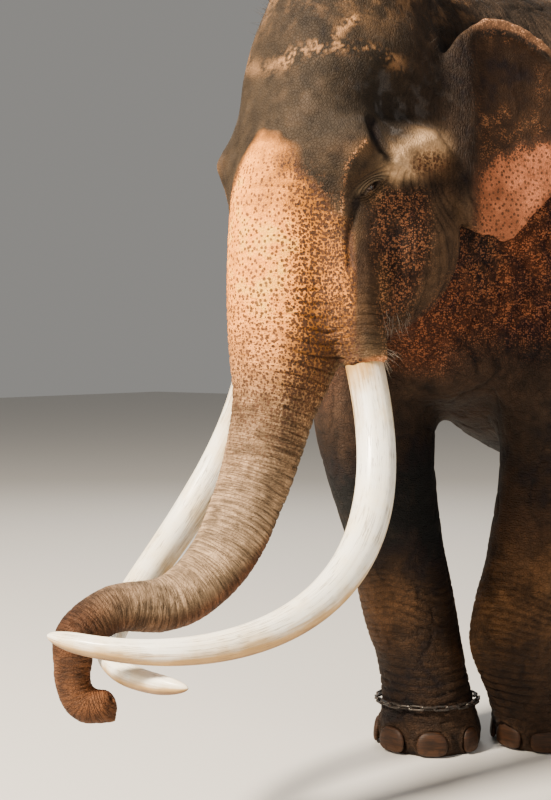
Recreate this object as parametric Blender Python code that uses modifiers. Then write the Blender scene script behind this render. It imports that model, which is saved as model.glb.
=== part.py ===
"""Asian bull elephant with very long crossed tusks, standing still, life size.

Metres, +Z up. The animal faces -Y and +X is its left. The origin is on the floor at the
middle of the model's box, and all the shapes are placed from a point between the forefeet.
The head has a frame of its own, between the eyes: left, back and up.
"""
import math

import bmesh
import bpy
import numpy as np
from mathutils import Euler, Matrix, Vector
from mathutils.bvhtree import BVHTree

# ---------------------------------------------------------------- driving dimensions
ORIGIN_SHIFT = Vector((0.011, -0.210, 0.0))  # from the point between the forefeet to the origin
EYE_HEIGHT = 2.16
HEAD_POINT = Vector((-0.09, -1.21, EYE_HEIGHT))
HEAD_TURN = math.radians(-6.0)  # the head looks a little to its right

EYE_RADIUS = 0.021
EYE_DEPTH = 0.013  # of its centre under the skin
EYE_BACK = 0.070  # behind the head's point
TUSK_RADIUS = 0.064
TUSK_ROOT = 0.12  # length of tusk inside its sheath
EAR_THICKNESS = 0.018
EAR_HOLLOW = 0.045  # depth of its cup
EAR_RIM = 0.045  # how far the top edge folds out
EAR_RIPPLE = 0.012
EAR_FRONT = 0.045  # how far its lower front edge stands off the cheek
EAR_FRONT_WIDTH = 0.20  # and how far back that reaches
EAR_FRONT_EDGE = -0.05  # from here

NAIL_THICKNESS = 0.016
NAIL_HEIGHT = 0.054  # of its middle above the floor
NAIL_HALF_HEIGHT = 0.049
NAIL_LEAN = -0.10  # radians, with the foot's side
NAIL_SINK = 0.985  # how far out the nails stand, as a share of the foot's radius
NAIL_HALF_WIDTHS = {5: (0.040, 0.058, 0.066, 0.062, 0.044), 4: (0.042, 0.054, 0.054, 0.042)}

CHAIN_LINKS = 26
CHAIN_WIRE = 0.005  # radius
CHAIN_LINK_WIDTH = 0.026
CHAIN_CENTRE = Vector((-0.182, -0.154, 0.190))
CHAIN_HALF_AXES = (0.203, 0.212)  # of its loop, across and along the animal
CHAIN_SAG = 0.008  # it hangs lower at the back
CHAIN_HIGHEST = math.radians(-52)  # where it is highest, turned from the animal's left

CUT = 0.0006  # width of the cuts between the parts
GAP = 0.0004  # between pieces set into each other
FLESH_VOXEL = 0.016
FLESH_TRIANGLES = 2700
FINE_SHARE = 0.3  # of the thinning goes to the head, the trunk and the feet
FORELEG_KNEE = 0.56  # heights of the level cuts in the legs
HINDLEG_KNEE = 0.98
ANKLE = 0.255

HEAD = Matrix.Translation(HEAD_POINT) @ Matrix.Rotation(HEAD_TURN, 4, "Z")
BODY = Matrix.Identity(4)

# Tusks in the head's frame. Each leaves its lip (left, back, up) at a compass angle from the
# front and a slope, then curls in a plane that starts turned by "plane" and twists on the way.
# Angles are in degrees, bends (root, tip) in 1/m, the twist in degrees per metre, and the
# length is what shows outside the lip.
TUSKS = {
    "tusk_left": dict(side=1, lip=(0.27, 0.08, -0.59), compass=97, slope=-75, plane=-20,
                      bend=(1.15, 1.85), twist=60, length=1.80),
    "tusk_right": dict(side=-1, lip=(-0.25, 0.08, -0.59), compass=-98, slope=-73, plane=8,
                       bend=(1.10, 1.90), twist=-62, length=1.88),
}

# Trunk centre line in the head's frame, from the brow to the tip: left, back, up, radius.
TRUNK = [
    (0.00, 0.18, 0.26, 0.150),
    (0.00, 0.04, 0.08, 0.205),
    (0.00, 0.00, -0.20, 0.215),
    (0.00, -0.03, -0.55, 0.192),
    (-0.01, -0.07, -0.74, 0.145),
    (-0.03, -0.15, -1.00, 0.123),
    (-0.04, -0.29, -1.23, 0.110),
    (-0.07, -0.48, -1.35, 0.092),
    (-0.12, -0.68, -1.35, 0.077),
    (-0.14, -0.81, -1.42, 0.071),
    (-0.135, -0.828, -1.50, 0.062),
    (-0.134, -0.833, -1.536, 0.058),
    (-0.131, -0.830, -1.570, 0.055),
    (-0.122, -0.824, -1.605, 0.053),
    (-0.107, -0.812, -1.630, 0.052),
    (-0.083, -0.793, -1.637, 0.050),
    (-0.060, -0.774, -1.626, 0.048),
    (-0.043, -0.760, -1.612, 0.043),
    (-0.033, -0.752, -1.602, 0.028),
]
# The pointed lip at the front of its end.
TRUNK_FINGER = [
    (-0.072, -0.783, -1.652, 0.034),
    (-0.045, -0.762, -1.668, 0.021),
    (-0.020, -0.742, -1.666, 0.013),
]
TRUNK_CUTS = {"trunk_upper": 5, "trunk_middle": 6, "trunk_lower": 8, "trunk_tip": 10}  # at these rows

# Torso: place along the back, top, bottom, half width.
TORSO = [
    (-0.56, 2.50, 1.80, 0.16),
    (-0.42, 2.92, 1.50, 0.34),
    (-0.14, 3.04, 1.32, 0.45),
    (0.25, 3.10, 1.16, 0.52),
    (0.65, 3.12, 1.08, 0.58),
    (1.05, 3.10, 1.08, 0.61),
    (1.45, 3.02, 1.10, 0.61),
    (1.80, 2.87, 1.18, 0.57),
    (2.10, 2.64, 1.35, 0.49),
    (2.33, 2.36, 1.57, 0.37),
    (2.46, 2.14, 1.75, 0.22),
    (2.51, 2.02, 1.88, 0.08),
]

# Neck: centre (x, y, z), half width, half height.
NECK = [
    (0.00, 0.15, 2.23, 0.42, 0.76),
    (-0.01, -0.25, 2.28, 0.40, 0.74),
    (-0.05, -0.55, 2.37, 0.37, 0.66),
    (-0.07, -0.80, 2.43, 0.33, 0.55),
]

# Head, in its own frame: height, front, back, half width.
SKULL = [
    (0.94, 0.22, 0.40, 0.09),
    (0.84, 0.12, 0.50, 0.18),
    (0.68, 0.01, 0.60, 0.26),
    (0.48, -0.07, 0.67, 0.325),
    (0.33, -0.10, 0.70, 0.350),
    (0.18, -0.13, 0.70, 0.358),
    (0.04, -0.15, 0.68, 0.355),
    (-0.10, -0.14, 0.62, 0.335),
    (-0.26, -0.12, 0.54, 0.300),
    (-0.40, -0.08, 0.42, 0.240),
    (-0.47, 0.00, 0.34, 0.16),
]

# Legs: centre (x, y), height, half width, half depth.
FORELEG_RIGHT = [
    (-0.180, -0.140, -0.03, 0.190, 0.200),
    (-0.180, -0.140, 0.05, 0.213, 0.222),
    (-0.180, -0.145, 0.12, 0.198, 0.208),
    (-0.182, -0.160, 0.22, 0.183, 0.190),
    (-0.192, -0.185, 0.35, 0.178, 0.184),
    (-0.222, -0.225, 0.55, 0.190, 0.192),
    (-0.250, -0.255, 0.74, 0.194, 0.194),
    (-0.290, -0.290, 0.98, 0.210, 0.220),
    (-0.330, -0.315, 1.24, 0.230, 0.255),
    (-0.350, -0.300, 1.52, 0.240, 0.300),
    (-0.350, -0.200, 1.95, 0.200, 0.300),
    (-0.300, -0.100, 2.30, 0.120, 0.200),
]
FORELEG_LEFT = [
    (0.175, 0.200, -0.03, 0.185, 0.195),
    (0.175, 0.197, 0.05, 0.208, 0.218),
    (0.172, 0.160, 0.12, 0.196, 0.210),
    (0.170, 0.060, 0.23, 0.172, 0.184),
    (0.176, -0.025, 0.35, 0.180, 0.188),
    (0.190, -0.080, 0.48, 0.196, 0.200),
    (0.218, -0.080, 0.62, 0.198, 0.202),
    (0.255, -0.045, 0.80, 0.202, 0.208),
    (0.295, -0.020, 1.00, 0.214, 0.230),
    (0.335, -0.010, 1.22, 0.232, 0.262),
    (0.352, -0.040, 1.52, 0.240, 0.300),
    (0.350, -0.060, 1.95, 0.200, 0.300),
    (0.300, -0.060, 2.30, 0.120, 0.200),
]
HINDLEG = [
    (0.270, 1.920, -0.03, 0.160, 0.190),
    (0.270, 1.920, 0.05, 0.184, 0.215),
    (0.270, 1.935, 0.14, 0.166, 0.194),
    (0.272, 1.970, 0.28, 0.146, 0.160),
    (0.275, 1.985, 0.42, 0.152, 0.168),
    (0.285, 1.940, 0.60, 0.170, 0.194),
    (0.300, 1.870, 0.80, 0.192, 0.230),
    (0.320, 1.815, 1.00, 0.214, 0.270),
    (0.345, 1.825, 1.25, 0.232, 0.340),
    (0.360, 1.850, 1.52, 0.235, 0.400),
    (0.355, 1.860, 1.85, 0.225, 0.410),
    (0.320, 1.880, 2.25, 0.170, 0.320),
]
RIGHT_HIND_STEP = -0.17  # the right hind foot stands this far in front of the left

TAIL = [
    (0.000, 2.42, 2.30, 0.075),
    (0.000, 2.52, 2.20, 0.058),
    (0.003, 2.565, 2.00, 0.047),
    (0.008, 2.570, 1.65, 0.037),
    (0.014, 2.560, 1.30, 0.029),
    (0.018, 2.545, 1.00, 0.023),
]
TAIL_BRUSH = [
    (0.018, 2.545, 0.9995, 0.0225),
    (0.020, 2.543, 0.92, 0.034),
    (0.022, 2.545, 0.80, 0.036),
    (0.024, 2.548, 0.66, 0.012),
]

# Ear outline on its own plane: back from the front edge, up from the eye's height.
EAR_OUTLINE = [
    (-0.09, 0.49), (-0.02, 0.575), (0.09, 0.605), (0.22, 0.575), (0.38, 0.480), (0.52, 0.385),
    (0.61, 0.290), (0.605, 0.190), (0.52, 0.110), (0.38, 0.045), (0.27, -0.050), (0.165, -0.155),
    (0.06, -0.150), (-0.05, -0.085), (-0.09, 0.060), (-0.085, 0.280),
]
EAR_MIDDLE = (0.25, 0.27)
EAR_ROOT = (0.385, 0.495)  # left and back of the ear's front edge
EAR_SPREAD = {"ear_left": math.radians(30), "ear_right": math.radians(36)}

# Feet: centre, half width and half depth at nail height, direction of the toes, nails,
# angle between the nails. A toe direction turns from the front towards the animal's left.
FEET = {
    "forefoot_right": ((-0.180, -0.142), 0.213, 0.222, -12, 5, 48),
    "forefoot_left": ((0.175, 0.192), 0.208, 0.218, -16, 5, 46),
    "hindfoot_right": ((-0.270, 1.750), 0.184, 0.215, -8, 4, 38),
    "hindfoot_left": ((0.270, 1.920), 0.184, 0.215, 8, 4, 38),
}

# ---------------------------------------------------------------- mesh tools
def clear_scene():
    for item in list(bpy.data.objects):
        bpy.data.objects.remove(item, do_unlink=True)


def new_collection(name):
    collection = bpy.data.collections.new(name)
    bpy.context.scene.collection.children.link(collection)
    return collection


def object_from(bm, name, collection):
    mesh = bpy.data.meshes.new(name)
    bm.to_mesh(mesh)
    bm.free()
    item = bpy.data.objects.new(name, mesh)
    collection.objects.link(item)
    return item


def applied(item):
    """The object's mesh with its modifiers applied, in place of its own."""
    graph = bpy.context.evaluated_depsgraph_get()
    graph.update()
    mesh = bpy.data.meshes.new_from_object(item.evaluated_get(graph))
    item.modifiers.clear()
    item.data = mesh
    return item


def smooth_rows(rows, steps):
    """Rows of numbers run through a Catmull-Rom spline, with steps between neighbours."""
    rows = np.array(rows, dtype=float)
    ends = np.vstack([2 * rows[0] - rows[1], rows, 2 * rows[-1] - rows[-2]])
    result = []
    for index in range(1, len(rows)):
        before, start, stop, after = ends[index - 1:index + 3]
        for step in range(steps):
            t = step / steps
            result.append(0.5 * (2 * start + (stop - before) * t
                                 + (2 * before - 5 * start + 4 * stop - after) * t ** 2
                                 + (3 * start - before - 3 * stop + after) * t ** 3))
    result.append(rows[-1])
    return np.array(result)


def add_rings(bm, rings):
    """A closed skin over rings of points with equal counts; both ends are capped."""
    loops = [[bm.verts.new(point) for point in ring] for ring in rings]
    count = len(loops[0])
    for lower, upper in zip(loops, loops[1:]):
        for i in range(count):
            j = (i + 1) % count
            bm.faces.new((lower[i], lower[j], upper[j], upper[i]))
    bm.faces.new(loops[0][::-1])
    bm.faces.new(loops[-1])
    bmesh.ops.recalc_face_normals(bm, faces=bm.faces)


def add_loft(bm, sections, sides=32, power=2.0):
    """A loft of ovals; a section is its centre and its two half axes, as vectors."""
    rings = []
    for centre, wide, high in sections:
        ring = []
        for i in range(sides):
            angle = 2 * math.pi * i / sides
            c, s = math.cos(angle), math.sin(angle)
            c = math.copysign(abs(c) ** (2 / power), c)
            s = math.copysign(abs(s) ** (2 / power), s)
            ring.append(centre + wide * c + high * s)
        rings.append(ring)
    part = bmesh.new()
    add_rings(part, rings)
    merge(bm, part)


def merge(bm, part):
    mesh = bpy.data.meshes.new("merged")
    part.to_mesh(mesh)
    part.free()
    bm.from_mesh(mesh)
    bpy.data.meshes.remove(mesh)


def add_ellipsoid(bm, frame, centre, radii, turn=(0, 0, 0), segments=24):
    part = bmesh.new()
    bmesh.ops.create_uvsphere(part, u_segments=segments, v_segments=segments * 2 // 3, radius=1.0)
    shape = Matrix.LocRotScale(Vector(centre), Euler(turn), Vector(radii))
    part.transform(frame @ shape)
    merge(bm, part)


def add_tube(bm, frame, rows, steps=4, sides=16):
    """A tube through rows of x, y, z and radius, from a bevelled curve with filled caps."""
    fine = smooth_rows(rows, steps)
    curve = bpy.data.curves.new("tube", "CURVE")
    curve.dimensions = "3D"
    curve.bevel_depth = 1.0
    curve.bevel_resolution = sides // 4 - 1
    curve.use_fill_caps = True
    spline = curve.splines.new("POLY")
    spline.points.add(len(fine) - 1)
    for point, (x, y, z, radius) in zip(spline.points, fine):
        point.co = (x, y, z, 1.0)
        point.radius = radius
    holder = bpy.data.objects.new("tube", curve)
    bpy.context.scene.collection.objects.link(holder)
    graph = bpy.context.evaluated_depsgraph_get()
    mesh = bpy.data.meshes.new_from_object(holder.evaluated_get(graph))
    part = bmesh.new()
    part.from_mesh(mesh)
    bmesh.ops.remove_doubles(part, verts=part.verts, dist=0.0001)
    bmesh.ops.recalc_face_normals(part, faces=part.faces)
    part.transform(frame)
    merge(bm, part)
    bpy.data.objects.remove(holder)
    bpy.data.curves.remove(curve)
    bpy.data.meshes.remove(mesh)


def coordinates(mesh):
    points = np.empty(len(mesh.vertices) * 3)
    mesh.vertices.foreach_get("co", points)
    return points.reshape(-1, 3)


def normals(mesh):
    result = np.empty(len(mesh.vertices) * 3, dtype=np.float32)
    mesh.vertex_normals.foreach_get("vector", result)
    return result.reshape(-1, 3).astype(float)


def set_coordinates(mesh, points):
    mesh.vertices.foreach_set("co", points.ravel())
    mesh.update()


# ---------------------------------------------------------------- the flesh
def tusk_line(side, lip, compass, slope, plane, bend, twist, length, steps=60):
    """Points of a tusk's centre line from the lip to the tip, in the head's frame."""
    compass, slope, plane, twist = (math.radians(value) for value in (compass, slope, plane, twist))
    point = Vector(lip)
    along = Vector((math.sin(compass) * math.cos(slope),
                    -math.cos(compass) * math.cos(slope),
                    math.sin(slope)))
    inward = Vector((0.0, -1.0, 0.0))
    inward = (inward - inward.dot(along) * along).normalized()
    inward = Matrix.Rotation(plane, 3, along) @ inward
    points = [point.copy()]
    step = length / steps
    for index in range(steps):
        part = (index + 0.5) / steps
        turn = (bend[0] + (bend[1] - bend[0]) * part) * step
        across = along.cross(inward)
        along = Matrix.Rotation(turn, 3, across) @ along
        inward = Matrix.Rotation(turn, 3, across) @ inward
        inward = Matrix.Rotation(twist * step, 3, along) @ inward
        point = point + along * step
        points.append(point)
    return points


def tusk_radius(part):
    """Radius at a share of the visible length: even at first, then a long taper and a blunt tip."""
    taper = 1.0 - 0.58 * max(0.0, (part - 0.28) / 0.72) ** 1.15
    tip = math.sqrt(max(0.0, 1.0 - max(0.0, (part - 0.93) / 0.07) ** 2))
    return TUSK_RADIUS * taper * max(tip, 0.10)


def section_z(frame, x, y, z, wide, deep):
    turn = frame.to_3x3()
    return frame @ Vector((x, y, z)), turn @ Vector((wide, 0, 0)), turn @ Vector((0, deep, 0))


def add_leg(bm, rows):
    sections = [section_z(BODY, *row) for row in smooth_rows(rows, 3)]
    add_loft(bm, sections, power=2.1)


def hind_leg_rows(side):
    rows = []
    for x, y, z, wide, deep in HINDLEG:
        step = 0.0 if side > 0 else RIGHT_HIND_STEP * max(0.0, 1.0 - z / 1.7)
        rows.append((side * x, y + step, z, wide, deep))
    return rows


def add_torso(bm):
    sections = []
    for y, top, bottom, wide in smooth_rows(TORSO, 3):
        centre = Vector((0, y, (top + bottom) / 2))
        sections.append((centre, Vector((wide, 0, 0)), Vector((0, 0, (top - bottom) / 2))))
    add_loft(bm, sections, sides=40, power=2.0)
    sections = []
    for x, y, z, wide, high in smooth_rows(NECK, 3):
        sections.append((Vector((x, y, z)), Vector((wide, 0, 0)), Vector((0, 0.12 * high, high))))
    add_loft(bm, sections, sides=32, power=2.0)
    add_ellipsoid(bm, BODY, (0.0, -0.30, 1.72), (0.34, 0.26, 0.32))
    for side in (-1, 1):
        add_ellipsoid(bm, BODY, (side * 0.33, 0.00, 2.05), (0.24, 0.42, 0.62), (0.12, 0, 0))
        add_ellipsoid(bm, BODY, (side * 0.34, 1.86, 1.90), (0.26, 0.48, 0.58), (0.15, 0, 0))


def add_head(bm):
    sections = []
    for z, front, back, wide in smooth_rows(SKULL, 3):
        sections.append(section_z(HEAD, 0, (front + back) / 2, z, wide, (back - front) / 2))
    add_loft(bm, sections, sides=36, power=2.2)
    for side in (-1, 1):
        dome = (side * 0.125, 0.32, 0.69)
        add_ellipsoid(bm, HEAD, dome, (0.155, 0.25, 0.262))
        cheek = (side * 0.215, 0.31, -0.10)
        add_ellipsoid(bm, HEAD, cheek, (0.165, 0.28, 0.32), (0.2, 0, 0))
    for tusk in TUSKS.values():
        side = tusk["side"]
        left, back, up = tusk["lip"]
        sheath = [(side * 0.04, 0.14, 0.04, 0.08), (side * 0.14, 0.065, -0.12, 0.125),
                  (left - side * 0.060, back - 0.025, up + 0.29, 0.120),
                  (left - side * 0.025, back - 0.015, up + 0.15, 0.100),
                  (left - side * 0.008, back, up + 0.06, 0.088),
                  (left - side * 0.004, back + 0.002, up - 0.002, 0.078)]
        add_tube(bm, HEAD, sheath)
    for side in (-1, 1):
        jaw = [(side * 0.205, 0.38, -0.16, 0.135), (side * 0.20, 0.38, -0.29, 0.140),
               (side * 0.14, 0.34, -0.375, 0.115), (side * 0.03, 0.30, -0.46, 0.080),
               (0.0, 0.285, -0.525, 0.052)]
        add_tube(bm, HEAD, jaw)


def add_trunk(bm):
    add_tube(bm, HEAD, TRUNK, steps=4, sides=24)
    add_tube(bm, HEAD, TRUNK_FINGER, steps=3, sides=12)


def flesh_shapes():
    bm = bmesh.new()
    add_torso(bm)
    add_head(bm)
    add_trunk(bm)
    add_leg(bm, FORELEG_RIGHT)
    add_leg(bm, FORELEG_LEFT)
    add_leg(bm, hind_leg_rows(1))
    add_leg(bm, hind_leg_rows(-1))
    return bm


# Swellings and hollows of the flesh: frame, centre, reach to the side, back and up, and height
# (below zero: a hollow). Each one with a side of its own is mirrored.
FORMS = [
    (HEAD, (0.31, 0.01, 0.12), (0.105, 0.100, 0.090), 0.056),  # brow
    (HEAD, (0.37, 0.28, 0.165), (0.110, 0.090, 0.050), 0.062),  # cheekbone
    (HEAD, (0.34, 0.15, 0.095), (0.100, 0.070, 0.050), 0.046),  # its lower end, behind the eye
    (HEAD, (0.31, 0.20, 0.285), (0.140, 0.150, 0.105), -0.088),  # temple
    (HEAD, (0.35, 0.085, -0.01), (0.060, 0.060, 0.075), -0.024),  # eye socket
    (HEAD, (0.32, 0.155, -0.22), (0.080, 0.045, 0.160), -0.036),  # between cheek and sheath
    (HEAD, (0.35, 0.40, -0.21), (0.120, 0.110, 0.150), 0.036),  # cheek
    (HEAD, (0.36, 0.56, -0.16), (0.110, 0.045, 0.230), -0.038),  # behind the cheek
    (HEAD, (0.00, 0.13, 0.93), (0.090, 0.090, 0.090), -0.035),  # between the domes, in front
    (HEAD, (0.00, 0.34, 0.97), (0.090, 0.090, 0.090), -0.035),  # between the domes, on top
    (HEAD, (0.00, -0.12, 0.40), (0.120, 0.120, 0.120), -0.022),  # forehead
    (BODY, (0.60, 0.50, 1.60), (0.280, 0.280, 0.280), -0.025),  # behind the elbow
    (BODY, (0.60, 1.42, 2.35), (0.250, 0.250, 0.250), -0.030),  # flank
]


def shape_forms(mesh):
    points = coordinates(mesh)
    outward = normals(mesh)
    for frame, centre, reach, height in FORMS:
        turn = np.array(frame.to_3x3())
        for side in ((-1, 1) if centre[0] else (1,)):
            at = np.array(frame @ Vector((side * centre[0], centre[1], centre[2])))
            away = (points - at) @ turn / np.array(reach)
            points += outward * (height * np.exp(-(away ** 2).sum(axis=1)))[:, None]
    set_coordinates(mesh, points)


def ramp(values, low, high):
    return np.clip((values - low) / (high - low), 0.0, 1.0)


def smooth_modifier(flesh, name, weights, factor, iterations):
    """A Smooth modifier that works where the weights say, from 0 to 1."""
    group = flesh.vertex_groups.new(name=name)
    levels = np.round(weights * 10).astype(int)
    for level in range(1, 11):
        group.add(np.flatnonzero(levels == level).tolist(), level / 10, "REPLACE")
    smooth = flesh.modifiers.new(name, "SMOOTH")
    smooth.factor = factor
    smooth.iterations = iterations
    smooth.vertex_group = group.name


def smooth_flesh(flesh):
    """Melts the shapes into each other: far on the body, less on the head, least on the trunk."""
    points = coordinates(flesh.data)
    body = ramp(points[:, 1], -0.75, -0.45) * ramp(points[:, 2], 0.45, 0.95)
    trunk = ramp(-points[:, 1], 0.9, 1.1) * ramp(-points[:, 2], -1.55, -1.25)
    smooth_modifier(flesh, "wide", body, 0.6, 70)
    smooth_modifier(flesh, "fine", 1.0 - 0.85 * trunk, 0.5, 30)
    applied(flesh)
    flesh.vertex_groups.clear()


def flesh_object(collection):
    """All the flesh as one closed mesh of small even faces."""
    flesh = object_from(flesh_shapes(), "flesh", collection)
    remesh = flesh.modifiers.new("Remesh", "REMESH")
    remesh.mode = "VOXEL"
    remesh.voxel_size = FLESH_VOXEL
    applied(flesh)
    smooth_flesh(flesh)
    shape_forms(flesh.data)
    return flesh


# ---------------------------------------------------------------- ears
def ear_point(side, spread, u, v, ring, spoke):
    """A point of the ear's sheet; ring is 0 in the middle and 1 on the edge."""
    across = min(max(u, 0.0) / 0.6, 1.0)
    hollow = EAR_HOLLOW * math.sin(math.pi * across) * math.cos(2.6 * (v - 0.25))
    flap = 0.05 * max(0.0, 0.12 - v) + EAR_RIPPLE * math.sin(9.0 * v + 4.0 * u)
    from_front = max(0.0, u - EAR_FRONT_EDGE) / EAR_FRONT_WIDTH
    flap += EAR_FRONT * max(0.0, 1.0 - from_front) * ramp(-v, -0.30, 0.0)
    top = max(0.0, math.cos(spoke - 1.35)) ** 2
    rim = EAR_RIM * top * max(0.0, (ring - 0.86) / 0.14) ** 2
    out = -hollow + flap + rim
    back = Vector((math.sin(spread), math.cos(spread), 0))
    face = Vector((math.cos(spread), -math.sin(spread), 0))
    place = Vector((EAR_ROOT[0], EAR_ROOT[1], 0)) + back * u + face * out + Vector((0, 0, v))
    place.x *= side
    return HEAD @ place


def ear_object(name, collection, rings, spokes):
    side = 1 if name == "ear_left" else -1
    spread = EAR_SPREAD[name]
    outline = smooth_rows(EAR_OUTLINE + EAR_OUTLINE[:1], 8)[:-1]
    middle = np.array(EAR_MIDDLE)
    bm = bmesh.new()
    centre = bm.verts.new(ear_point(side, spread, middle[0], middle[1], 0.0, 0.0))
    previous = None
    for ring in rings:
        loop = []
        for index in range(spokes):
            edge = outline[int(index * len(outline) / spokes)]
            u, v = middle + (edge - middle) * ring
            spoke = math.atan2(v - middle[1], u - middle[0])
            loop.append(bm.verts.new(ear_point(side, spread, u, v, ring, spoke)))
        for i in range(spokes):
            j = (i + 1) % spokes
            if previous:
                bm.faces.new((previous[i], previous[j], loop[j], loop[i]))
            else:
                bm.faces.new((centre, loop[j], loop[i]))
        previous = loop
    if side < 0:
        bmesh.ops.reverse_faces(bm, faces=bm.faces)
    ear = object_from(bm, name, collection)
    solid = ear.modifiers.new("Solidify", "SOLIDIFY")
    solid.thickness = EAR_THICKNESS
    solid.offset = 0.0
    return applied(ear)


# ---------------------------------------------------------------- tusks, eyes, nails, tail, chain
def tusk_rows(tusk, extra, steps):
    """Rows of x, y, z and radius along a tusk, from inside its sheath to the tip."""
    line = tusk_line(**tusk)
    start = line[0]
    along = (line[1] - line[0]).normalized()
    root = start - along * TUSK_ROOT
    rows = [(*root, TUSK_RADIUS * 0.94 + extra)]
    count = len(line) - 1
    for step in range(steps + 1):
        part = 1.0 - (1.0 - step / steps) ** 1.25 if step else 0.0
        place = part * count
        low = min(int(place), count - 1)
        point = line[low].lerp(line[low + 1], place - low)
        rows.append((*point, tusk_radius(part) + extra))
    return rows


def tusk_object(name, collection, steps=15, sides=12, extra=0.0):
    bm = bmesh.new()
    add_tube(bm, HEAD, tusk_rows(TUSKS[name], extra, steps), steps=1, sides=sides)
    return object_from(bm, name, collection)


def eye_places(flesh):
    """Centres of the eyes, set into the sides of the head, keyed by node name."""
    tree = BVHTree.FromPolygons([v.co for v in flesh.data.vertices],
                                [tuple(p.vertices) for p in flesh.data.polygons])
    places = {}
    for side, name in ((-1, "eye_right"), (1, "eye_left")):
        start = HEAD @ Vector((side * 0.9, EYE_BACK, 0))
        inward = (HEAD.to_3x3() @ Vector((-side, 0, 0))).normalized()
        places[name] = tree.ray_cast(start, inward)[0] + inward * EYE_DEPTH
    return places


def nail_places(foot):
    """Centre, turn and half width of each nail of a foot."""
    (x, y), wide, deep, toes, count, spacing = FEET[foot]
    places = []
    for index in range(count):
        turn = math.radians(toes + (index - (count - 1) / 2) * spacing)
        across = wide * NAIL_SINK * math.sin(turn)
        forward = deep * NAIL_SINK * math.cos(turn)
        place = Vector((x + across, y - forward, NAIL_HEIGHT))
        places.append((place, turn, NAIL_HALF_WIDTHS[count][index]))
    return places


def add_nail(bm, place, turn, half_width, extra):
    """A flat oval lens that stands on the foot's side, its poles in and out."""
    part = bmesh.new()
    bmesh.ops.create_uvsphere(part, u_segments=9, v_segments=4, radius=1.0)
    part.transform(Matrix.Rotation(math.pi / 2, 4, "X"))
    size = Vector((half_width + extra, NAIL_THICKNESS + extra, NAIL_HALF_HEIGHT + extra))
    part.transform(Matrix.LocRotScale(place, Euler((NAIL_LEAN, 0, turn)), size))
    merge(bm, part)


def add_link(bm, place, along, outward, length, flat):
    """One link of the chain as a six-sided oval plate, lying flat or on edge."""
    up = along.cross(outward).normalized()
    wide = outward if flat else up
    thick = along.cross(wide).normalized()
    loops = []
    for side in (-1, 1):
        loop = []
        for index in range(6):
            angle = math.pi * index / 3
            c, s = math.cos(angle), math.sin(angle)
            point = place + along * (length / 2 * c) + wide * (CHAIN_LINK_WIDTH / 2 * s / 0.866)
            loop.append(point + thick * (side * CHAIN_WIRE))
        loops.append(loop)
    part = bmesh.new()
    add_rings(part, loops)
    merge(bm, part)


def chain_point(part):
    """A point of the chain's loop round the right fore ankle, and the way outwards."""
    angle = 2 * math.pi * part
    wide, deep = CHAIN_HALF_AXES
    outward = Vector((math.cos(angle) / wide, math.sin(angle) / deep, 0)).normalized()
    sag = CHAIN_SAG * math.cos(angle - CHAIN_HIGHEST)
    place = CHAIN_CENTRE + Vector((wide * math.cos(angle), deep * math.sin(angle), sag))
    return place, outward


def chain_object(collection):
    halves = []
    for odd in (0, 1):
        bm = bmesh.new()
        for index in range(odd, CHAIN_LINKS, 2):
            place, outward = chain_point(index / CHAIN_LINKS)
            after = chain_point((index + 0.5) / CHAIN_LINKS)[0]
            before = chain_point((index - 0.5) / CHAIN_LINKS)[0]
            along = (after - before).normalized()
            outward = (outward - outward.dot(along) * along).normalized()
            length = (after - before).length + 4 * CHAIN_WIRE
            add_link(bm, place, along, outward, length, odd == 0)
        halves.append(object_from(bm, "ankle_chain" if odd == 0 else "chain_half", collection))
    chain, half = halves
    union = chain.modifiers.new("Union", "BOOLEAN")
    union.operation = "UNION"
    union.object = half
    applied(chain)
    bpy.data.objects.remove(half)
    return chain


# ---------------------------------------------------------------- cutting the flesh into parts
def boolean_cut(item, cutter):
    cut = item.modifiers.new("Cut", "BOOLEAN")
    cut.operation = "DIFFERENCE"
    cut.object = cutter
    applied(item)
    cutter.hide_render = True
    cutter.display_type = "WIRE"


def pocket_cutter(name, eyes, collection):
    """Eyes, tusk roots and nails, a gap bigger than they are, to make room for them."""
    bm = bmesh.new()
    for place in eyes.values():
        add_ellipsoid(bm, BODY, place, [EYE_RADIUS + GAP] * 3, segments=10)
    for tusk in TUSKS.values():
        rows = tusk_rows(tusk, GAP, 15)
        root, lip = Vector(rows[0][:3]), Vector(rows[1][:3])
        deeper = root + (root - lip).normalized() * GAP
        stub = [(*deeper, rows[0][3]), (*root, rows[0][3])] + rows[1:5]
        add_tube(bm, HEAD, stub, steps=1, sides=12)
    for foot in FEET:
        for place, turn, half_width in nail_places(foot):
            add_nail(bm, place, turn, half_width, GAP)
    return object_from(bm, name, collection)


def bisected(item, point, normal, name, collection):
    """Parts a piece in two along a plane; the far side becomes a new object."""
    point, normal = Vector(point), Vector(normal).normalized()
    halves = []
    for side in (-1, 1):
        bm = bmesh.new()
        bm.from_mesh(item.data)
        shifted = point + normal * (side * CUT / 2)
        everything = bm.verts[:] + bm.edges[:] + bm.faces[:]
        bmesh.ops.bisect_plane(bm, geom=everything, plane_co=shifted, plane_no=normal,
                               clear_outer=side < 0, clear_inner=side > 0)
        open_edges = [edge for edge in bm.edges if edge.is_boundary]
        bmesh.ops.holes_fill(bm, edges=open_edges, sides=0)
        halves.append(bm)
    mesh = item.data
    halves[0].to_mesh(mesh)
    halves[0].free()
    return object_from(halves[1], name, collection)


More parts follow.
